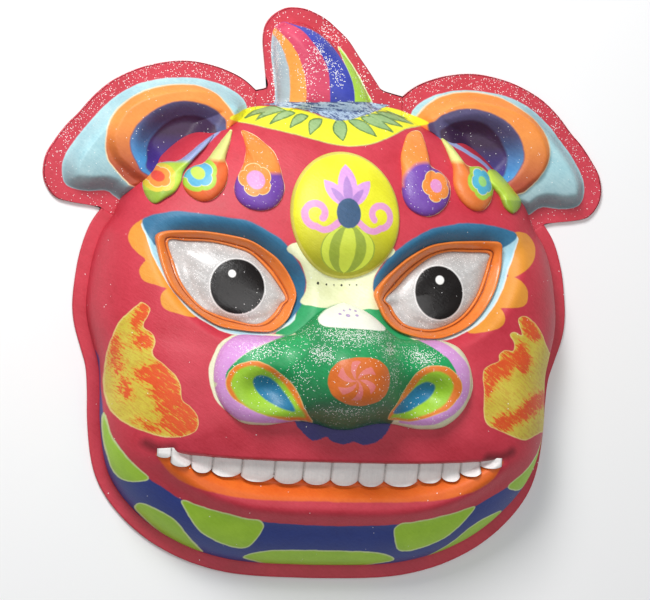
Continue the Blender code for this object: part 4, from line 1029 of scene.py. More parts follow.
def teeth_surface(columns=24, rows=20):
    """Fronts of the teeth in one sheet: u across a tooth and v down it.

    With b the way from a tooth's middle as a share of half its width, its lower edge bows up by a share of
    its height times b to the power 2.6. Of its thickness a flat share stays, and the rest is times the root
    of 1 less b ** 4 and times 1 less 0.6 v ** 8. The row thins towards its ends.
    """
    tops = seen_at([(x, np.interp(x, *np.array(TEETH_TOP).T)) for x in TOOTH_EDGES], on_lid)
    middles = (np.array(TOOTH_EDGES)[:-1] + np.array(TOOTH_EDGES)[1:]) / 2
    ends = seen_at(np.stack([middles, TOOTH_BOTTOMS], axis=-1), on_lid)[:, 1]
    u = np.tile(np.linspace(0, 1, columns), len(ends))
    tooth = np.repeat(np.arange(len(ends)), columns)
    x = tops[tooth, 0] * (1 - u) + tops[tooth + 1, 0] * u
    top = tops[tooth, 1] * (1 - u) + tops[tooth + 1, 1] * u + TOOTH_TUCK
    off = np.abs(2 * u - 1)
    bottom = ends[tooth] + TOOTH_BOW * (top - ends[tooth]) * off ** TOOTH_BOW_POWER
    v = np.sin(np.linspace(0, math.pi / 2, rows))[:, None]
    y = top + (bottom - top) * v
    points = np.stack([np.broadcast_to(x, y.shape), y], axis=-1)
    crown = np.clip(1 - off ** 4, 0, 1) ** 0.5 * (1 - 0.6 * v ** 8)
    thin = TOOTH_END + (1 - TOOTH_END) * ease((MOUTH_X * WIDTH / 2 - np.abs(x)) / TOOTH_END_REACH)
    depth = TOOTH_THICKNESS * thin * (TOOTH_FLAT + (1 - TOOTH_FLAT) * crown)
    height = np.minimum(face_height(points), mouth_floor(points)) + SEAT + depth
    front = np.concatenate([points, height[..., None]], axis=-1)
    back = front - np.array([0, 0, TOOTH_THICKNESS])
    surface = np.concatenate([front, back[::-3]])
    # gap: distance in mm from a tooth's edge, for the painted shade between teeth
    gap = np.minimum(u, 1 - u) * np.abs(tops[tooth + 1, 0] - tops[tooth, 0]) * 1000
    return surface, np.broadcast_to(gap, y.shape)


def mouth_floor(points):
    """Height of the mouth's floor carried up under the upper lip, so that the teeth run in behind it."""
    top = mouth_lines(points[..., 0])[0] - UPPER_LIP_SLOPE
    sunk = np.stack([points[..., 0], np.minimum(points[..., 1], top)], axis=-1)
    return face_height(sunk)


# Where the paint lies, as distances in mm
def both_sides(points, outline):
    """Distance to an outline on the left half and to its mirror image on the right."""
    left = points.copy()
    left[..., 0] = -np.abs(points[..., 0])
    return within(left, outline)


def leaf_outline(row):
    """A leaf in pixels: its middle line bends by a parabola, and its half width is a sine that peaks late."""
    x, y, tip_x, tip_y, half, bend = row
    t = np.linspace(0, 1, 14)
    along = np.array([tip_x - x, tip_y - y], float)
    across = np.array([-along[1], along[0]]) / np.linalg.norm(along)
    middle = np.array([x, y]) + t[:, None] * along - across * (bend * 4 * t * (1 - t))[:, None]
    width = (half * np.sin(math.pi * t ** 0.8))[:, None] * across
    return np.vstack([middle + width, (middle - width)[-2:0:-1]])


def face_paint(points):
    """Painted shapes of the face."""
    height = face_height(points)
    above_rim = (height - WALL - ABOVE_RIM) * 1000

    def tails(*drops):
        return shapes(points, [drop["outline"] for drop in drops], face_height)
    # Painted shade: dark strokes at the corners of the mouth
    corners = [stroke(points, seen_at(smooth_line(line), face_height), MOUTH_CORNER_SHADE_HALF_WIDTH)
               for line in MOUTH_CORNER_SHADE_LINES]
    thin_tail = stroke(points, seen_at(smooth_line(THIN_TAIL), face_height), THIN_TAIL_HALF_WIDTH)
    dots = zip(seen_at(BRIDGE_DOTS, front_height), BRIDGE_DOT_RADII)
    return {
        "hair": shapes(points, [HAIR_BAND]),
        "foot_band": shapes(points, [HORN_FOOT_BAND]),
        "leaves": any_of(*[within(points, seen_at(leaf_outline(row), front_height)) for row in LEAVES]),
        "brow": shapes(points, [LEFT_BROW, RIGHT_BROW]),
        "pale": shapes(points, [LEFT_PALE, RIGHT_PALE]),
        "scallops": shapes(points, LEFT_SCALLOPS + RIGHT_SCALLOPS),
        "flames": all_of(shapes(points, [LEFT_FLAME, RIGHT_FLAME]), above_rim),
        "scorch": shapes(points, LEFT_SCORCH + RIGHT_SCORCH),
        "nose_side": shapes(points, [NOSE_SIDE], face_height),
        "wing": shapes(points, [LEFT_CREAM, RIGHT_CREAM], face_height),
        "orange_tails": tails(LEFT_DROPS[0], RIGHT_DROPS[0]),
        "pale_tails": tails(LEFT_DROPS[1], RIGHT_DROPS[1]),
        "lilac_tails": any_of(tails(LEFT_DROPS[2]), thin_tail),
        "bridge": shapes(points, [BRIDGE]),
        "flap": shapes(points, [CREAM_FLAP]),
        "chin": all_of(both_sides(points, painted_outline(NAVY_BAND)), above_rim),
        "cells": all_of(any_of(*[both_sides(points, painted_outline(one)) for one in LIME_CELLS]), above_rim),
        "gum": shapes(points, [GUM]),
        "moustache": shapes(points, [MOUSTACHE]),
        "crease": any_of(*corners),
        "dots": any_of(*[disc(points, dot, size * PIXEL) for dot, size in dots]),
    }


def sparkle(points, spots, height):
    """Share of cells with glitter, painted as white glints: a bell round each spot, from places and spreads
    in pixels.
    """
    found = np.zeros(points.shape[:-1])
    for x, y, wide, tall, share in spots:
        middle = seen_at([(x, y)], height)[0]
        found = np.maximum(found, share * swell(points, middle, (wide * PIXEL, tall * PIXEL)))
    return found


def dabs(points, rows, height):
    """Distance to oval dabs of a brush, from their places and half sizes in pixels."""
    found = np.full(points.shape[:-1], UNPAINTED)
    for x, y, wide, tall in rows:
        offset = (points - seen_at([(x, y)], height)[0]) / (np.array([wide, tall]) * PIXEL)
        found = np.maximum(found, (1 - np.linalg.norm(offset, axis=-1)) * wide * PIXEL * 1000)
    return found


def nose_paint(points):
    """Painted shapes of the nose."""
    def shape(*outlines):
        return shapes(points, outlines, nose_height)
    centre = seen_at([TIP_MIDDLE], nose_height)[0]
    offset = (points - centre) * 1000
    radius = np.linalg.norm(offset, axis=-1)
    turn = np.arctan2(offset[..., 1], offset[..., 0])
    arms = np.sin(PINWHEEL_ARMS * turn + radius * PINWHEEL_TWIST) * radius * 0.3 - 0.3
    return {
        "cream": shape(LEFT_CREAM, RIGHT_CREAM),
        "lilac": shape(LEFT_LILAC, RIGHT_LILAC),
        "green_edge": shape(LEFT_GREEN_EDGE, RIGHT_GREEN_EDGE),
        "ring": shape(LEFT_RING, RIGHT_RING),
        "lime": shape(LEFT_LIME, RIGHT_LIME),
        "nostril": shape(LEFT_NOSTRIL, RIGHT_NOSTRIL),
        "tip": shape(TIP_OVAL),
        "pinwheel": np.maximum(UNPAINTED, np.minimum(arms, PINWHEEL_RADIUS - radius)),
        "flap": shape(CREAM_FLAP),
        "flap_dabs": dabs(points, FLAP_DABS, nose_height),
        "sparkle": 0.03 + sparkle(points, NOSE_SPARKLE, nose_height),
        # below: how far under the tip a point lies, for the painted shade of the nose's underside
        "below": np.maximum(UNPAINTED, 1000 * (NOSE_CENTRE[1] - 0.004 - points[..., 1])),
    }


def ear_height(points):
    """Height of an ear's front."""
    return WALL + ear_relief(points)


def ear_paint(points, ring, inner, pit):
    """Painted shapes of an ear: its blue body along the relief, and three shapes from the photograph."""
    right = on_right(points)
    body = np.maximum(UNPAINTED, 1000 * signed_depth(right, table_line(EAR_BODY, 90, True)) - EAR_PAINT_IN)
    # low: how far below EAR_LOW_Y a point lies, for the ear's painted light and shade
    paint = {"body": body, "low": (EAR_LOW_Y - points[..., 1]) * 1000}
    for key, outline in (("ring", ring), ("inner", inner), ("pit", pit)):
        paint[key] = shapes(points, [outline], ear_height)
    paint["hair"] = shapes(points, [HAIR_BAND], ear_height)
    # Glitter on the rim, painted as white glints, thicker towards the top, where the light catches it
    upper = ease((points[..., 1] - SPARKLE_FROM_Y) / SPARKLE_RAMP)
    paint["sparkle"] = 0.006 + 0.13 * ease(-body / 2) * (0.25 + 0.75 * upper)
    return paint


def horn_height(points):
    """Height of the horn's front."""
    return WALL + horn_relief(points)


def horn_paint(points):
    """Painted shapes of the horn: its body, and what lies left of each stripe's right-hand edge."""
    depth = signed_depth(points, table_line(HORN_BODY, 90, True))
    paint = {"body": np.maximum(UNPAINTED, 1000 * depth + HORN_PAINT_OUT)}
    for number, edge in enumerate(HORN_STRIPES, 1):
        tip_x, tip_y = edge[-1]
        pixels = smooth_line(edge) if len(edge) > 2 else np.array(edge)
        over = tip_y - PAST_TIP[1]
        around = [(tip_x - PAST_TIP[0], over), (BESIDE_HORN, over), (BESIDE_HORN, BELOW_HORN),
                  (edge[0][0], BELOW_HORN)]
        ring = np.vstack([pixels, around])
        paint[f"stripe_{number}"] = within(points, seen_at(ring, horn_height))
    paint["lime"] = shapes(points, [HORN_LIME], horn_height)
    paint["foot_band"] = within(points, seen_at(HORN_FOOT_BAND, horn_height))
    paint["hair"] = shapes(points, [HAIR_BAND], horn_height)
    paint["sparkle"] = 0.02 + sparkle(points, HORN_SPARKLE, horn_height) + 0.03 * ease(-paint["body"])
    return paint


def boss_paint(points):
    """Ornament of the boss in mm round its middle: three petals over a seed, two scrolls, and a ribbed fruit.

    A petal is where two circles overlap. The fruit is an oval, ribbed where the cosine of its turn round its
    own upright axis, times the number of ribs, is above 0.
    """
    x, y = (1000 * part for part in np.moveaxis(points - place(0, BOSS_Y), -1, 0))
    side = np.abs(x)

    def petal(lean, length, width):
        along = side * math.sin(lean) + (y - PETAL_FOOT) * math.cos(lean)
        across = side * math.cos(lean) - (y - PETAL_FOOT) * math.sin(lean)
        bow = (length ** 2 / 4 - width ** 2) / (2 * width)
        return bow + width - np.hypot(along - length / 2, np.abs(across) + bow)
    up = (y - FRUIT_Y) / FRUIT_HALF_HEIGHT
    fruit = (1 - np.hypot(x / FRUIT_HALF_WIDTH, up)) * FRUIT_MEAN
    half = np.maximum(FRUIT_HALF_WIDTH * np.sqrt(np.clip(1 - up ** 2, 0.01, 1)), 0.1)
    turn = np.arcsin(np.clip(x / half, -1, 1))
    found = {
        "seed": SEED_RADIUS - np.hypot(x, (y - 1) * SEED_SQUASH),
        "petals": any_of(*[petal(*row) for row in PETALS]),
        "petal_lines": any_of(*[petal(*row) for row in PETAL_HEARTS]),
        "scrolls": spiral_distance(side, y),
        "fruit": fruit,
        "ribs": RIB_DEPTH * np.cos(turn * RIBS) + np.minimum(fruit - RIB_MARGIN, 0.4),
        # low: distance below the middle, for the painted shade at the boss's foot
        "low": -10 - y,
        "rim": (np.hypot(x / (1000 * BOSS_HALF_WIDTH), y / (1000 * BOSS_HALF_HEIGHT)) - 1) * 40 + 1.6,
    }
    return {key: np.maximum(UNPAINTED, value) for key, value in found.items()}


def spiral_distance(side, y):
    """Distance to the stroke of a scroll: out from the seed along a sine, then round a shrinking circle."""
    turn = np.linspace(0, 1, 40)
    stem = np.stack([7 + 15 * turn, -5 - 5.5 * np.sin(math.pi * turn * 0.8)], axis=-1)
    reach = CURL_REACH * (1 - CURL_SHRINK * turn)
    curl = np.array(CURL_MIDDLE) + reach[:, None] * heading(np.linspace(CURL_START, CURL_END, 40))
    points = np.stack([side, y], axis=-1) / 1000
    return any_of(stroke(points, stem / 1000, STEM_HALF_WIDTH), stroke(points, curl / 1000, CURL_HALF_WIDTH))


def drop_height(points):
    """Height of the crest of a drop over the face."""
    return face_height(points) + CREST * DROP_HEIGHT


def drop_paint(points, drop, side):
    """Ornament of a drop: a flower of five round petals off its middle, a ring round it, and the tail.

    The tail lies above a line and, where a ball is given by its middle and radius, outside that ball.
    """
    x, y, size, heart = drop["flower"]
    centre = seen_at([(x, y)], drop_height)[0]
    offset = (points - centre) / np.array([PIXEL, PIXEL * FLOWER_TALL])
    radius = np.linalg.norm(offset, axis=-1)
    turn = np.arctan2(offset[..., 1], offset[..., 0])
    petals = size * (1 - PETAL_CUT + PETAL_CUT * np.abs(np.cos(2.5 * (turn + 0.5 * side))) ** PETAL_ROUND)
    tail_y = seen_at([(drop["centre"][0], drop["tail_below"])], drop_height)[0][1]
    ball_x, ball_y, ball_size = drop.get("ball", (0, 0, 0))
    ball = seen_at([(ball_x, ball_y)], drop_height)[0]
    beyond = (np.linalg.norm(points - ball, axis=-1) - ball_size * PIXEL) * 1000
    found = {
        "flower": (petals - radius) * PIXEL * 1000,
        "heart": (heart - radius) * PIXEL * 1000,
        "ring": (petals + FLOWER_RING - radius) * PIXEL * 1000,
        "tail": all_of((points[..., 1] - tail_y) * 1000, beyond),
        # low: distance below the drop's middle, for painted shade on its lower part
        "low": (seen_at([drop["centre"]], drop_height)[0][1] - 0.003 - points[..., 1]) * 1000,
    }
    return {key: np.maximum(UNPAINTED, value) for key, value in found.items()}


def eye_paint(points, pupil, gleam):
    """Pupil and painted gleam of an eye."""
    centre = seen_at([pupil[:2]], on_lid)[0]
    offset = (points - centre) / (np.array(pupil[2:]) * PIXEL)
    share = np.linalg.norm(offset, axis=-1)
    return {
        "pupil": np.maximum(UNPAINTED, (1 - share) * pupil[2] * PIXEL * 1000),
        "gleam": disc(points, seen_at([gleam[:2]], on_lid)[0], gleam[2] * PIXEL),
        "sparkle": 0.004 + 0.11 * ease((share - 0.95) / 0.1),
    }


# Materials
def linear(colour):
    """Linear light of an sRGB hex colour, with its alpha."""
    channel = np.array([int(colour[i:i + 2], 16) for i in (1, 3, 5)]) / 255
    channel = np.where(channel > 0.04045, ((channel + 0.055) / 1.055) ** 2.4, channel / 12.92)
    return (*channel.tolist(), 1.0)


def add(tree, kind, settings=(), values=(), links=()):
    """A node with its settings, the values of its sockets and the sockets that feed it."""
    node = tree.nodes.new(kind)
    for key, value in dict(settings).items():
        setattr(node, key, value)
    for key, value in dict(values).items():
        node.inputs[key].default_value = value
    for key, socket in dict(links).items():
        tree.links.new(socket, node.inputs[key])
    return node


MIX_UNDER, MIX_OVER, MIX_COLOUR = 6, 7, 2   # sockets of a colour mix


def brush_fields(tree, turn):
    """What the hand and the brush leave everywhere: wobble of edges in mm, streaks, blotches and pulp grain.

    Streaks are noise drawn out eight to one along the brush, whose bristles leave lines about 1 mm apart.
    Blotches are about 20 mm wide and the grain of the pulp about 2 mm.
    """
    place_on = add(tree, "ShaderNodeTexCoord").outputs["Object"]
    wobble = add(tree, "ShaderNodeTexNoise", values={"Scale": 110.0, "Detail": 3.0, "Roughness": 0.6},
                 links={"Vector": place_on})
    wobble = add(tree, "ShaderNodeMath", {"operation": "MULTIPLY_ADD"}, {1: 2.6, 2: -1.3},
                 {0: wobble.outputs["Fac"]}).outputs[0]
    turned = add(tree, "ShaderNodeMapping", values={"Rotation": (0, 0, turn)}, links={"Vector": place_on})
    drawn = add(tree, "ShaderNodeMapping", values={"Scale": (110.0, 900.0, 250.0)},
                links={"Vector": turned.outputs["Vector"]})
    streaks = add(tree, "ShaderNodeTexNoise", values={"Scale": 1.0, "Detail": 3.0, "Roughness": 0.65},
                  links={"Vector": drawn.outputs["Vector"]}).outputs["Fac"]
    blotch = add(tree, "ShaderNodeTexNoise", values={"Scale": 45.0, "Detail": 4.0, "Roughness": 0.6},
                 links={"Vector": place_on}).outputs["Fac"]
    grain = add(tree, "ShaderNodeTexNoise", values={"Scale": 520.0, "Detail": 4.0, "Roughness": 0.7},
                links={"Vector": place_on}).outputs["Fac"]
    uneven = add(tree, "ShaderNodeMath", {"operation": "MULTIPLY_ADD"}, {1: 0.45},
                 {0: streaks, 2: blotch}).outputs[0]
    uneven = add(tree, "ShaderNodeMath", {"operation": "MULTIPLY_ADD"}, {1: 0.45},
                 {0: grain, 2: uneven}).outputs[0]
    tone = add(tree, "ShaderNodeMapRange", values={"From Min": 0.68, "From Max": 1.24},
               links={"Value": uneven}).outputs[0]
    return {"place": place_on, "wobble": wobble, "streaks": streaks, "blotch": blotch, "grain": grain,
            "tone": tone}


def coat(tree, fields, under, name, level, dark, light, soft=0.35, wobble=1.0, strength=1.0, dry=0.0,
         cap=None, inside=None):
    """Lay a coat over the colour so far, where its distance is above a level in mm, with a brushed edge.

    A dry coat misses the hollows: the streaks push its edge to and fro by so many mm. With a cap on the
    distance they do so in the middle of the shape too. A soft coat can be kept inside another shape.
    """
    distance = add(tree, "ShaderNodeAttribute", {"attribute_name": name}).outputs["Fac"]
    edge = add(tree, "ShaderNodeMath", {"operation": "MULTIPLY_ADD"}, {1: 0.5 * wobble},
               {0: fields["wobble"], 2: distance}).outputs[0]
    if cap is not None:
        edge = add(tree, "ShaderNodeMath", {"operation": "MINIMUM"}, {1: cap}, {0: edge}).outputs[0]
    if dry:
        centred = add(tree, "ShaderNodeMath", {"operation": "MULTIPLY_ADD"}, {1: 6 * dry, 2: -3 * dry},
                      {0: fields["streaks"]}).outputs[0]
        rough = add(tree, "ShaderNodeMath", {"operation": "MULTIPLY_ADD"}, {1: 3 * dry},
                    {0: fields["grain"], 2: centred}).outputs[0]
        edge = add(tree, "ShaderNodeMath", {"operation": "ADD"}, links={0: edge, 1: rough}).outputs[0]
        level = level + 1.5 * dry
    share = add(tree, "ShaderNodeMapRange",
                values={"From Min": level - soft, "From Max": level + soft, "To Max": strength},
                links={"Value": edge}).outputs[0]
    if inside:
        outer = add(tree, "ShaderNodeAttribute", {"attribute_name": inside}).outputs["Fac"]
        outer = add(tree, "ShaderNodeMath", {"operation": "MULTIPLY_ADD"}, {1: 0.5 * wobble},
                    {0: fields["wobble"], 2: outer}).outputs[0]
        kept = add(tree, "ShaderNodeMapRange", values={"From Min": 0.0, "From Max": 0.7},
                   links={"Value": outer}).outputs[0]
        share = add(tree, "ShaderNodeMath", {"operation": "MULTIPLY"}, links={0: share, 1: kept}).outputs[0]
    colour = add(tree, "ShaderNodeMix", {"data_type": "RGBA"},
                 {MIX_UNDER: linear(dark), MIX_OVER: linear(light)}, {0: fields["tone"]}).outputs[MIX_COLOUR]
    return add(tree, "ShaderNodeMix", {"data_type": "RGBA"},
               links={0: share, MIX_UNDER: under, MIX_OVER: colour}).outputs[MIX_COLOUR]


def glitter_flakes(tree, fields, colour, chance, spacing):
    """Scatter pale flakes over a colour, and tell where they lie: glitter whose glints are painted white into
    the colour.

    The surface is cut into cells one spacing apart. A cell carries a flake when its random number is
    below the chance, which is an amount or the name of an attribute, and the flake fills its middle.
    """
    cells = add(tree, "ShaderNodeTexVoronoi", values={"Scale": 1 / spacing},
                links={"Vector": fields["place"]})
    number = add(tree, "ShaderNodeSeparateColor", links={"Color": cells.outputs["Color"]}).outputs[0]
    few = add(tree, "ShaderNodeMath", {"operation": "LESS_THAN"}, links={0: number})
    if isinstance(chance, str):
        amount = add(tree, "ShaderNodeAttribute", {"attribute_name": chance}).outputs["Fac"]
        tree.links.new(amount, few.inputs[1])
    else:
        few.inputs[1].default_value = chance
    middle = add(tree, "ShaderNodeMath", {"operation": "LESS_THAN"}, {1: 0.46},
                 {0: cells.outputs["Distance"]}).outputs[0]
    flake = add(tree, "ShaderNodeMath", {"operation": "MULTIPLY"},
                links={0: few.outputs[0], 1: middle}).outputs[0]
    shown = add(tree, "ShaderNodeMix", {"data_type": "RGBA"}, {MIX_OVER: linear("#F6F4F2")},
                {0: flake, MIX_UNDER: colour}).outputs[MIX_COLOUR]
    return shown, flake


def painted_pulp(name, base, coats, roughness=0.5, chance=0.0, spacing=0.0009, gloss=0.0, relief=0.4,
                 turn=0.6):
    """Brushed acrylic paint on moulded paper pulp: a base coat, coats inside their edges, and glitter flakes.

    Acrylic has an IOR of 1.47. It dries satin, duller where it lies thin, and shows the bristles' lines and
    the pulp's grain as a relief of some tenths of a millimetre.
    """
    material = bpy.data.materials.new(name)
    material.use_nodes = True
    tree = material.node_tree
    shader = tree.nodes["Principled BSDF"]
    fields = brush_fields(tree, turn)
    colour = add(tree, "ShaderNodeMix", {"data_type": "RGBA"},
                 {MIX_UNDER: linear(base[0]), MIX_OVER: linear(base[1])},
                 {0: fields["tone"]}).outputs[MIX_COLOUR]
    for row in coats:
        colour = coat(tree, fields, colour, *row[:4], **(row[4] if len(row) > 4 else {}))
    dull = add(tree, "ShaderNodeMapRange", values={"To Min": roughness - 0.08, "To Max": roughness + 0.1},
               links={"Value": fields["blotch"]}).outputs[0]
    if chance:
        colour, flake = glitter_flakes(tree, fields, colour, chance, spacing)
        dull = add(tree, "ShaderNodeMix", values={3: 0.2}, links={0: flake, 2: dull}).outputs[0]
    height = add(tree, "ShaderNodeMath", {"operation": "MULTIPLY_ADD"}, {1: 0.8},
                 {0: fields["streaks"], 2: fields["grain"]}).outputs[0]
    raised = add(tree, "ShaderNodeBump", values={"Strength": relief, "Distance": 0.0005},
                 links={"Height": height})
    tree.links.new(colour, shader.inputs["Base Color"])
    tree.links.new(dull, shader.inputs["Roughness"])
    tree.links.new(raised.outputs["Normal"], shader.inputs["Normal"])
    shader.inputs["IOR"].default_value = 1.47
    shader.inputs["Coat Weight"].default_value = gloss
    shader.inputs["Coat Roughness"].default_value = 0.15
    return material


RED = ("#BA2A3A", "#D03C4E")
YELLOW = ("#E0DC20", "#F6F43A")
FOOT_BAND_COATS = (
    ("foot_band", 0, "#4C5C86", "#5F7098"),
    ("foot_band", 0.5, "#9DB2CA", "#C0D2DE", {"dry": 1.2, "soft": 0.3, "cap": 0.7}),
)
# The low coats are painted light and shade: lower down the ear the body and ring darken, while the inner band
# and pit, slate and dark purple above, turn bluer below
EAR_COATS = (
    ("body", 0, "#93C2CC", "#BDE2E6"),
    ("low", 28, "#5F6E74", "#78888E", {"soft": 14, "strength": 0.75, "inside": "body"}),
    ("ring", -0.5, "#D9C9A4", "#EDE2C4", {"soft": 0.25}),
    ("ring", 0.4, "#EE8A38", "#F99F4C"),
    ("low", 9, "#9C3E24", "#B65234", {"soft": 17, "inside": "ring"}),
    ("inner", -0.2, "#4A4468", "#5E5680", {"soft": 0.6}),
    ("low", 6, "#2F79B8", "#4E9AD2", {"soft": 14, "inside": "inner"}),
    ("pit", 0, "#34203A", "#452A4E", {"soft": 0.8}),
    ("low", 12, "#332A84", "#43389C", {"soft": 12, "inside": "pit"}),
    ("hair", 0, *YELLOW),
)

# Moulded pulp left bare on the inside: grey-beige, dull and grainy
bare_pulp = painted_pulp("bare_grey_pulp", ("#A79E90", "#C9C1B2"), (), roughness=0.85, relief=1.0)

# Face: acrylic craft paint brushed by hand on sealed pulp. Satin red with flat shapes over it, a few edged in
# cream, and cheeks scumbled with an almost dry brush, so the eye sees streaks there
face_red = painted_pulp("brushed_red_acrylic", RED, (
    # painted shade darkening the corners of the mouth
    ("crease", 0, "#4A1018", "#6A1A22", {"soft": 2.2, "strength": 0.75}),
    ("nose_side", 0, "#1F8A54", "#2EA866"),
    ("wing", 2.4, "#D5D8B0", "#ECEFCE"),
    ("hair", -0.5, "#A8A456", "#CFCB84", {"soft": 0.25}),
    ("hair", 0.2, *YELLOW),
    ("leaves", -0.35, "#4C7038", "#6E9048", {"soft": 0.3}),
    ("leaves", 0.5, "#7FA668", "#A9C68C", {"dry": 0.25}),
    *FOOT_BAND_COATS,
    ("scallops", 0, "#DC8C2C", "#E89E3A"),
    ("pale", 0, "#D2E2E2", "#E6F0EE"),
    ("pale", 0.9, "#93C8DC", "#B8E0EA", {"soft": 0.7}),
    ("brow", 0, "#2A6488", "#3A7CA2", {"soft": 0.5}),
    ("bridge", 0, "#D6DAA8", "#EEF0CC"),
    ("dots", 0, "#15130F", "#2A2620", {"wobble": 0.2, "soft": 0.2}),
    ("orange_tails", -0.1, "#E9D7A0", "#F2E4B4", {"soft": 0.2}),
    ("orange_tails", 0.5, "#EC8230", "#F79848"),
    ("pale_tails", -0.1, "#E6E49C", "#F2F0B8", {"soft": 0.2}),
    ("pale_tails", 0.5, "#D3D87C", "#E2E690"),
    ("lilac_tails", 0, "#8C9CCC", "#A6B2DA"),
    ("flames", 0, "#D8BE6C", "#ECD68C", {"soft": 0.25}),
    ("flames", 0.7, "#C9B436", "#DECF54"),
    ("flames", 2.5, "#B8802A", "#CC9836", {"dry": 3.0, "soft": 1.2, "cap": 2.0, "strength": 0.6,
                                           "inside": "flames"}),
    ("scorch", -1.5, "#D88A24", "#E89C30", {"dry": 2.6, "soft": 2.2, "cap": 2.0, "strength": 0.6,
                                            "inside": "flames"}),
    ("scorch", 0, "#D23C18", "#E45622", {"dry": 2.8, "soft": 1.4, "cap": 2.2, "strength": 0.95,
                                         "inside": "flames"}),
    ("chin", 0, "#24357E", "#2E4390"),
    ("cells", -0.1, "#C6D68C", "#DDE8A8", {"soft": 0.25}),
    ("cells", 0.7, "#9AC828", "#B0DA3A"),
    ("gum", 0, "#DC5C12", "#EA701E", {"soft": 0.6}),
    ("moustache", 0, "#2E2A66", "#40387C", {"dry": 0.5}),
), chance=0.001, spacing=0.0008)

# Ears and horn: the same satin acrylic, with glitter dusted on while the rims were wet, its glints painted as
# white flakes
ear_red = painted_pulp("brushed_ear_acrylic", RED, EAR_COATS, chance="sparkle", spacing=0.0006)
horn_blue = painted_pulp("brushed_horn_acrylic", RED, (
    ("lime", -0.2, "#D8E0B0", "#E8ECC8", {"soft": 0.25}),
    ("lime", 0.5, "#A6D43C", "#BCE64C"),
    ("blue_stripe", 0, "#343E9E", "#4450BC"),
    ("red_stripe", 0, "#C43A5A", "#DA4C6C"),
    ("orange_stripe", 0, "#E9933C", "#F4A64C"),
    ("grey_stripe", 0, "#9FB2BE", "#B8C8D0"),
    ("hair", 0, *YELLOW),
    *FOOT_BAND_COATS,
), chance="sparkle", spacing=0.0008, turn=0.1)

# Nose: green acrylic, brushed on a little thicker and glossier, with painted shade below its tip, under dense
# clusters of silver glitter
nose_green = painted_pulp("brushed_nose_acrylic", ("#14834A", "#22A45E"), (
    # painted shade: darker green under the nose's tip
    ("below", 0, "#1A5A36", "#226C42", {"soft": 14}),
    ("cream", 0, "#D5D8B0", "#ECEFCE"),
    ("lilac", 0, "#CB8ACB", "#DFA4DF"),
    ("green_edge", 0, "#178A4E", "#23A860"),
    ("ring", -0.3, "#D8B070", "#E8C88C", {"soft": 0.2}),
    ("ring", 0.2, "#E07424", "#EE8A38"),
    ("lime", 0, "#8FBF2A", "#ABD640", {"soft": 0.8}),
    ("nostril", 0, "#1F6A90", "#2E84AE", {"soft": 0.6}),
    ("tip", 0, "#C6601C", "#D8722C"),
    ("pinwheel", 0, "#D8707C", "#E08C8C", {"dry": 0.3, "strength": 0.7}),
    ("flap", 0, "#E4E6D6", "#F4F5EA"),
    ("flap_dabs", 0, "#A88CC0", "#BCA4CE", {"wobble": 0.4, "soft": 0.25}),
), roughness=0.4, chance="sparkle", spacing=0.0007)

# Boss: lemon acrylic with painted shade darker towards its foot, and an ornament in lilac, pink and slate
# over a green fruit
boss_yellow = painted_pulp("brushed_boss_acrylic", YELLOW, (
    # painted shade towards the foot of the boss
    ("low", 4, "#A4A01C", "#B6B228", {"soft": 16}),
    ("fruit", 0, "#8CA030", "#A6B83E"),
    ("ribs", 0, "#C8D83C", "#DAE650"),
    ("scrolls", 0, "#D98CC0", "#E8A8D0"),
    ("petals", 0, "#D294D6", "#E4B0E4"),
    ("petal_lines", 0, "#A878C4", "#BC94D0"),
    ("seed", 0, "#33506E", "#44648A"),
    ("rim", 0, "#C9C04C", "#DCD468"),
), roughness=0.42)

# Eyes: white enamel under clear varnish, grey with a fine speckle of glitter painted as white glints, with a
# deep black pupil
eye_white = painted_pulp("varnished_eye_enamel", ("#A6A4A2", "#D4D2D0"), (
    ("pupil", -0.9, "#CFCDCB", "#F0EEEC", {"wobble": 0.3, "soft": 0.2}),
    ("pupil", 0, "#0B0706", "#150E0C", {"wobble": 0.3}),
    ("gleam", 0, "#E8E4DE", "#FFFFFF", {"wobble": 0.3}),
), roughness=0.26, gloss=0.2, relief=0.3, chance="sparkle", spacing=0.0006)
# Lids: orange acrylic under varnish, with painted shade: a dark brown line along the groove beside the white
lid_orange = painted_pulp("varnished_lid_acrylic", ("#E07228", "#F08838"), (
    ("groove", 0, "#8A3A14", "#A24A1C", {"soft": 0.4, "wobble": 0.6}),
), roughness=0.33, gloss=0.3, chance=0.006, spacing=0.0007)

# Teeth: chalk-white acrylic, with painted shade greying them towards the gaps between them
tooth_ivory = painted_pulp("brushed_tooth_acrylic", ("#AEA8A4", "#C2BCB8"), (
    ("gap", 0.6, "#DAD6D4", "#F0EDEA", {"soft": 0.8, "wobble": 0.4}),
), roughness=0.4, turn=1.5)

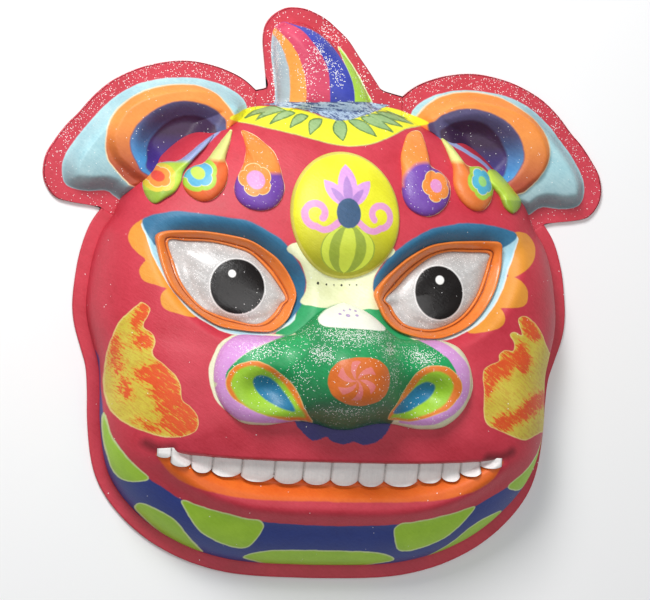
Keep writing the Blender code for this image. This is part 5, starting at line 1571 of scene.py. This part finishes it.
# Drops: ground, lower part (painted shade where it is darker than the ground), tail, ring round the flower,
# flower, and its heart
PURPLE = ("#6A3E9E", "#7E50B0")
ORANGE = ("#EC8230", "#F79848")
PALE_LIME = ("#D3D87C", "#E2E690")
LIME = ("#9CC438", "#B4D84C")
OCHRE = ("#D8C038", "#E8D04C")
LIGHT_ORANGE = ("#EC8A34", "#F49C44")
SCARLET = ("#DC4430", "#E8563E")
RUST = ("#D65A28", "#E8703A")
BROWN_ORANGE = ("#DC7030", "#EA843E")
FRESH_GREEN = ("#A8C83C", "#C2DC50")
SHADED_MOSS = ("#8CAC34", "#A0C044")
FIRST_FLOWER = (("#EE8430", "#F79848"), ("#DA86C0", "#E8A0D0"))
DROP_COLOURS = {
    ("left", 1): (PURPLE, PURPLE, ORANGE, None, *FIRST_FLOWER),
    ("left", 2): (RUST, RUST, PALE_LIME, LIME, ("#4AA0C8", "#6CBCDC"), ("#B8D84C", "#CCE864")),
    ("left", 3): (FRESH_GREEN, SHADED_MOSS, ("#8C9CCC", "#A6B2DA"), OCHRE, LIGHT_ORANGE, SCARLET),
    ("right", 1): (PURPLE, PURPLE, ORANGE, None, *FIRST_FLOWER),
    ("right", 2): (BROWN_ORANGE, BROWN_ORANGE, PALE_LIME, LIME, ("#3EA8C8", "#5CC0DC"),
                   ("#8CD06C", "#A4E080")),
    ("right", 3): (FRESH_GREEN, SHADED_MOSS, ("#C2D84C", "#D2E460"), OCHRE, LIGHT_ORANGE, SCARLET),
}


def drop_material(word, number):
    """Acrylic of one drop: ground and tail, and a flower with a contrasting ring and heart."""
    ground, low, tail, ring, flower, heart = DROP_COLOURS[word, number]
    # the low coat is painted shade on the lower part of a drop
    coats = [("tail", 0, *tail, {"soft": 1.6}), ("low", 2.5, *low)]
    if ring:
        coats.append(("ring", 0, *ring))
    coats += [("flower", -0.25, "#E8DCA0", "#F0E8B8", {"soft": 0.15}), ("flower", 0.15, *flower),
              ("heart", 0, *heart)]
    return painted_pulp(f"brushed_drop_acrylic_{word}_{number}", ground, coats, roughness=0.4,
                        chance=0.02 if number < 2 else 0.0, spacing=0.0006)


def stretched(paint, rows):
    """Paint rows repeated at the outer edge until there are as many as the front has."""
    return {key: np.concatenate([values, np.repeat(values[-1:], rows - len(values), axis=0)])
            for key, values in paint.items()}


# The pieces
plain, points = face_surface()
surface = rounded_edge(plain)
rows = len(surface)
keep = np.unique(np.append(np.arange(0, len(plain), FACE_BACK_STEP), [len(plain) - RIM_ROWS, len(plain) - 1]))
paint = {key: np.concatenate([values[:1], values]) for key, values in face_paint(points).items()}
add_piece("painted_face", with_back(surface, plain, True, keep), (face_red, bare_pulp), "face_shell",
          join_rows=True, hidden_from=rows, paint=stretched(paint, rows))

surface, points = nose_surface()
keep = np.unique(np.append(np.arange(0, len(surface), 8), len(surface) - 1))
add_piece("painted_nose", with_back(surface, surface, True, keep), (nose_green, bare_pulp), "nose",
          hidden_from=len(surface), paint=nose_paint(points))

for side, word, outlines in ((-1, "left", (LEFT_EAR_RING, LEFT_EAR_INNER, LEFT_EAR_PIT)),
                             (1, "right", (RIGHT_EAR_RING, RIGHT_EAR_INNER, RIGHT_EAR_PIT))):
    plain, points = ear_surface(side)
    surface, rows = edged_sheet(plain)
    add_piece(f"painted_{word}_ear", surface, (ear_red, bare_pulp), word + "_ear",
              join_rows=True, join_columns=False, hidden_from=rows,
              paint=stretched(ear_paint(points, *outlines), rows), cap_pairs=rows)

plain, points = horn_surface()
surface, rows = edged_sheet(plain)
paint = horn_paint(points)
stripes = {key: paint[key] for key in ("lime", "hair", "foot_band", "sparkle")}
for name, number in (("blue_stripe", 4), ("red_stripe", 3), ("orange_stripe", 2), ("grey_stripe", 1)):
    stripes[name] = all_of(paint["body"], paint[f"stripe_{number}"])
add_piece("painted_horn", surface, (horn_blue, bare_pulp), "horn",
          join_rows=True, join_columns=False, hidden_from=rows, paint=stretched(stripes, rows),
          cap_pairs=rows)

turn = np.linspace(0, 2 * math.pi, 200, endpoint=False)
boss_middle = place(0, BOSS_Y)
boss_rim = boss_middle + np.array([BOSS_HALF_WIDTH, BOSS_HALF_HEIGHT]) * heading(turn)[:, ::-1]
surface, points = lens(boss_middle, boss_rim, BOSS_HEIGHT, 2.2, 100)
add_piece("painted_boss", surface, (boss_yellow,), "forehead_boss", paint=boss_paint(points))

eyes = ((-1, "left", LEFT_WHITE, LEFT_LID, LEFT_PUPIL, LEFT_GLEAM, LEFT_DROPS),
        (1, "right", RIGHT_WHITE, RIGHT_LID, RIGHT_PUPIL, RIGHT_GLEAM, RIGHT_DROPS))
for side, word, white, lid, pupil, gleam, drops in eyes:
    ball, points, ring, across = eye_shapes(side, white, lid)
    add_piece(f"painted_{word}_eyeball", ball, (eye_white,), word + "_eyeball",
              paint=eye_paint(points, pupil, gleam))
    add_piece(f"painted_{word}_eyelid", ring, (lid_orange,), word + "_eyelid", join_rows=True,
              # groove: the band of the lid's section that painted shade darkens
              paint={"groove": (0.045 - np.abs(across - 0.27)) * 12})
    for number, drop in enumerate(drops, 1):
        surface, points = drop_surface(drop)
        add_piece(f"painted_{word}_drop_{number}", surface, (drop_material(word, number),),
                  f"{word}_drop_{number}", paint=drop_paint(points, drop, side))

surface, gap = teeth_surface()
add_piece("painted_teeth", surface, (tooth_ivory,), "upper_teeth",
          join_rows=True, join_columns=False, paint={"gap": gap})

# Floor, light and camera
floor_material = bpy.data.materials.new("matte_white_backdrop")
floor_material.use_nodes = True
backdrop = floor_material.node_tree.nodes["Principled BSDF"]
backdrop.inputs["Base Color"].default_value = (0.9, 0.9, 0.9, 1)
backdrop.inputs["Roughness"].default_value = 0.9
floor_mesh = bpy.data.meshes.new("floor")
corners = [(x, y, -0.0004) for x, y in ((-4, -4), (4, -4), (4, 4), (-4, 4))]
floor_mesh.from_pydata(corners, [], [(0, 1, 2, 3)])
floor_mesh.materials.append(floor_material)
floor = bpy.data.objects.new("floor", floor_mesh)
bpy.context.scene.collection.objects.link(floor)


def soft_light(name, spot, size, power):
    """A square white studio light at a place, turned to the mask."""
    lamp = bpy.data.lights.new(name, "AREA")
    lamp.shape = "SQUARE"
    lamp.size = size
    lamp.energy = power
    made = bpy.data.objects.new(name, lamp)
    made.location = spot
    made.rotation_euler = (-Vector(spot)).to_track_quat("-Z", "Y").to_euler()
    bpy.context.scene.collection.objects.link(made)


soft_light("key", (-0.50, 0.95, 1.00), 0.5, 19)
soft_light("fill", (0.1, 0.0, 2.6), 1.8, 22)
world = bpy.data.worlds.new("studio")
bpy.context.scene.world = world
world.use_nodes = True
world.node_tree.nodes["Background"].inputs["Color"].default_value = (0.95, 0.97, 1, 1)
world.node_tree.nodes["Background"].inputs["Strength"].default_value = 0.22
bpy.context.scene.view_settings.view_transform = "Standard"

view = bpy.data.cameras.new("photograph")
view.sensor_fit = "HORIZONTAL"
view.sensor_width = 36
view.lens = view.sensor_width * VIEW_DISTANCE / (PHOTO_SIZE[0] * PIXEL)
view.shift_x = (PHOTO_SIZE[0] / 2 - VIEW_MIDDLE[0]) / PHOTO_SIZE[0]
view.shift_y = (VIEW_MIDDLE[1] - PHOTO_SIZE[1] / 2) / PHOTO_SIZE[0]
camera = bpy.data.objects.new("photograph", view)
turned = Matrix(np.stack([RIGHT, UP, AWAY], axis=-1).tolist()).to_4x4()
camera.matrix_world = Matrix.Translation(Vector(VIEW_DISTANCE * AWAY)) @ turned
bpy.context.scene.collection.objects.link(camera)
bpy.context.scene.camera = camera
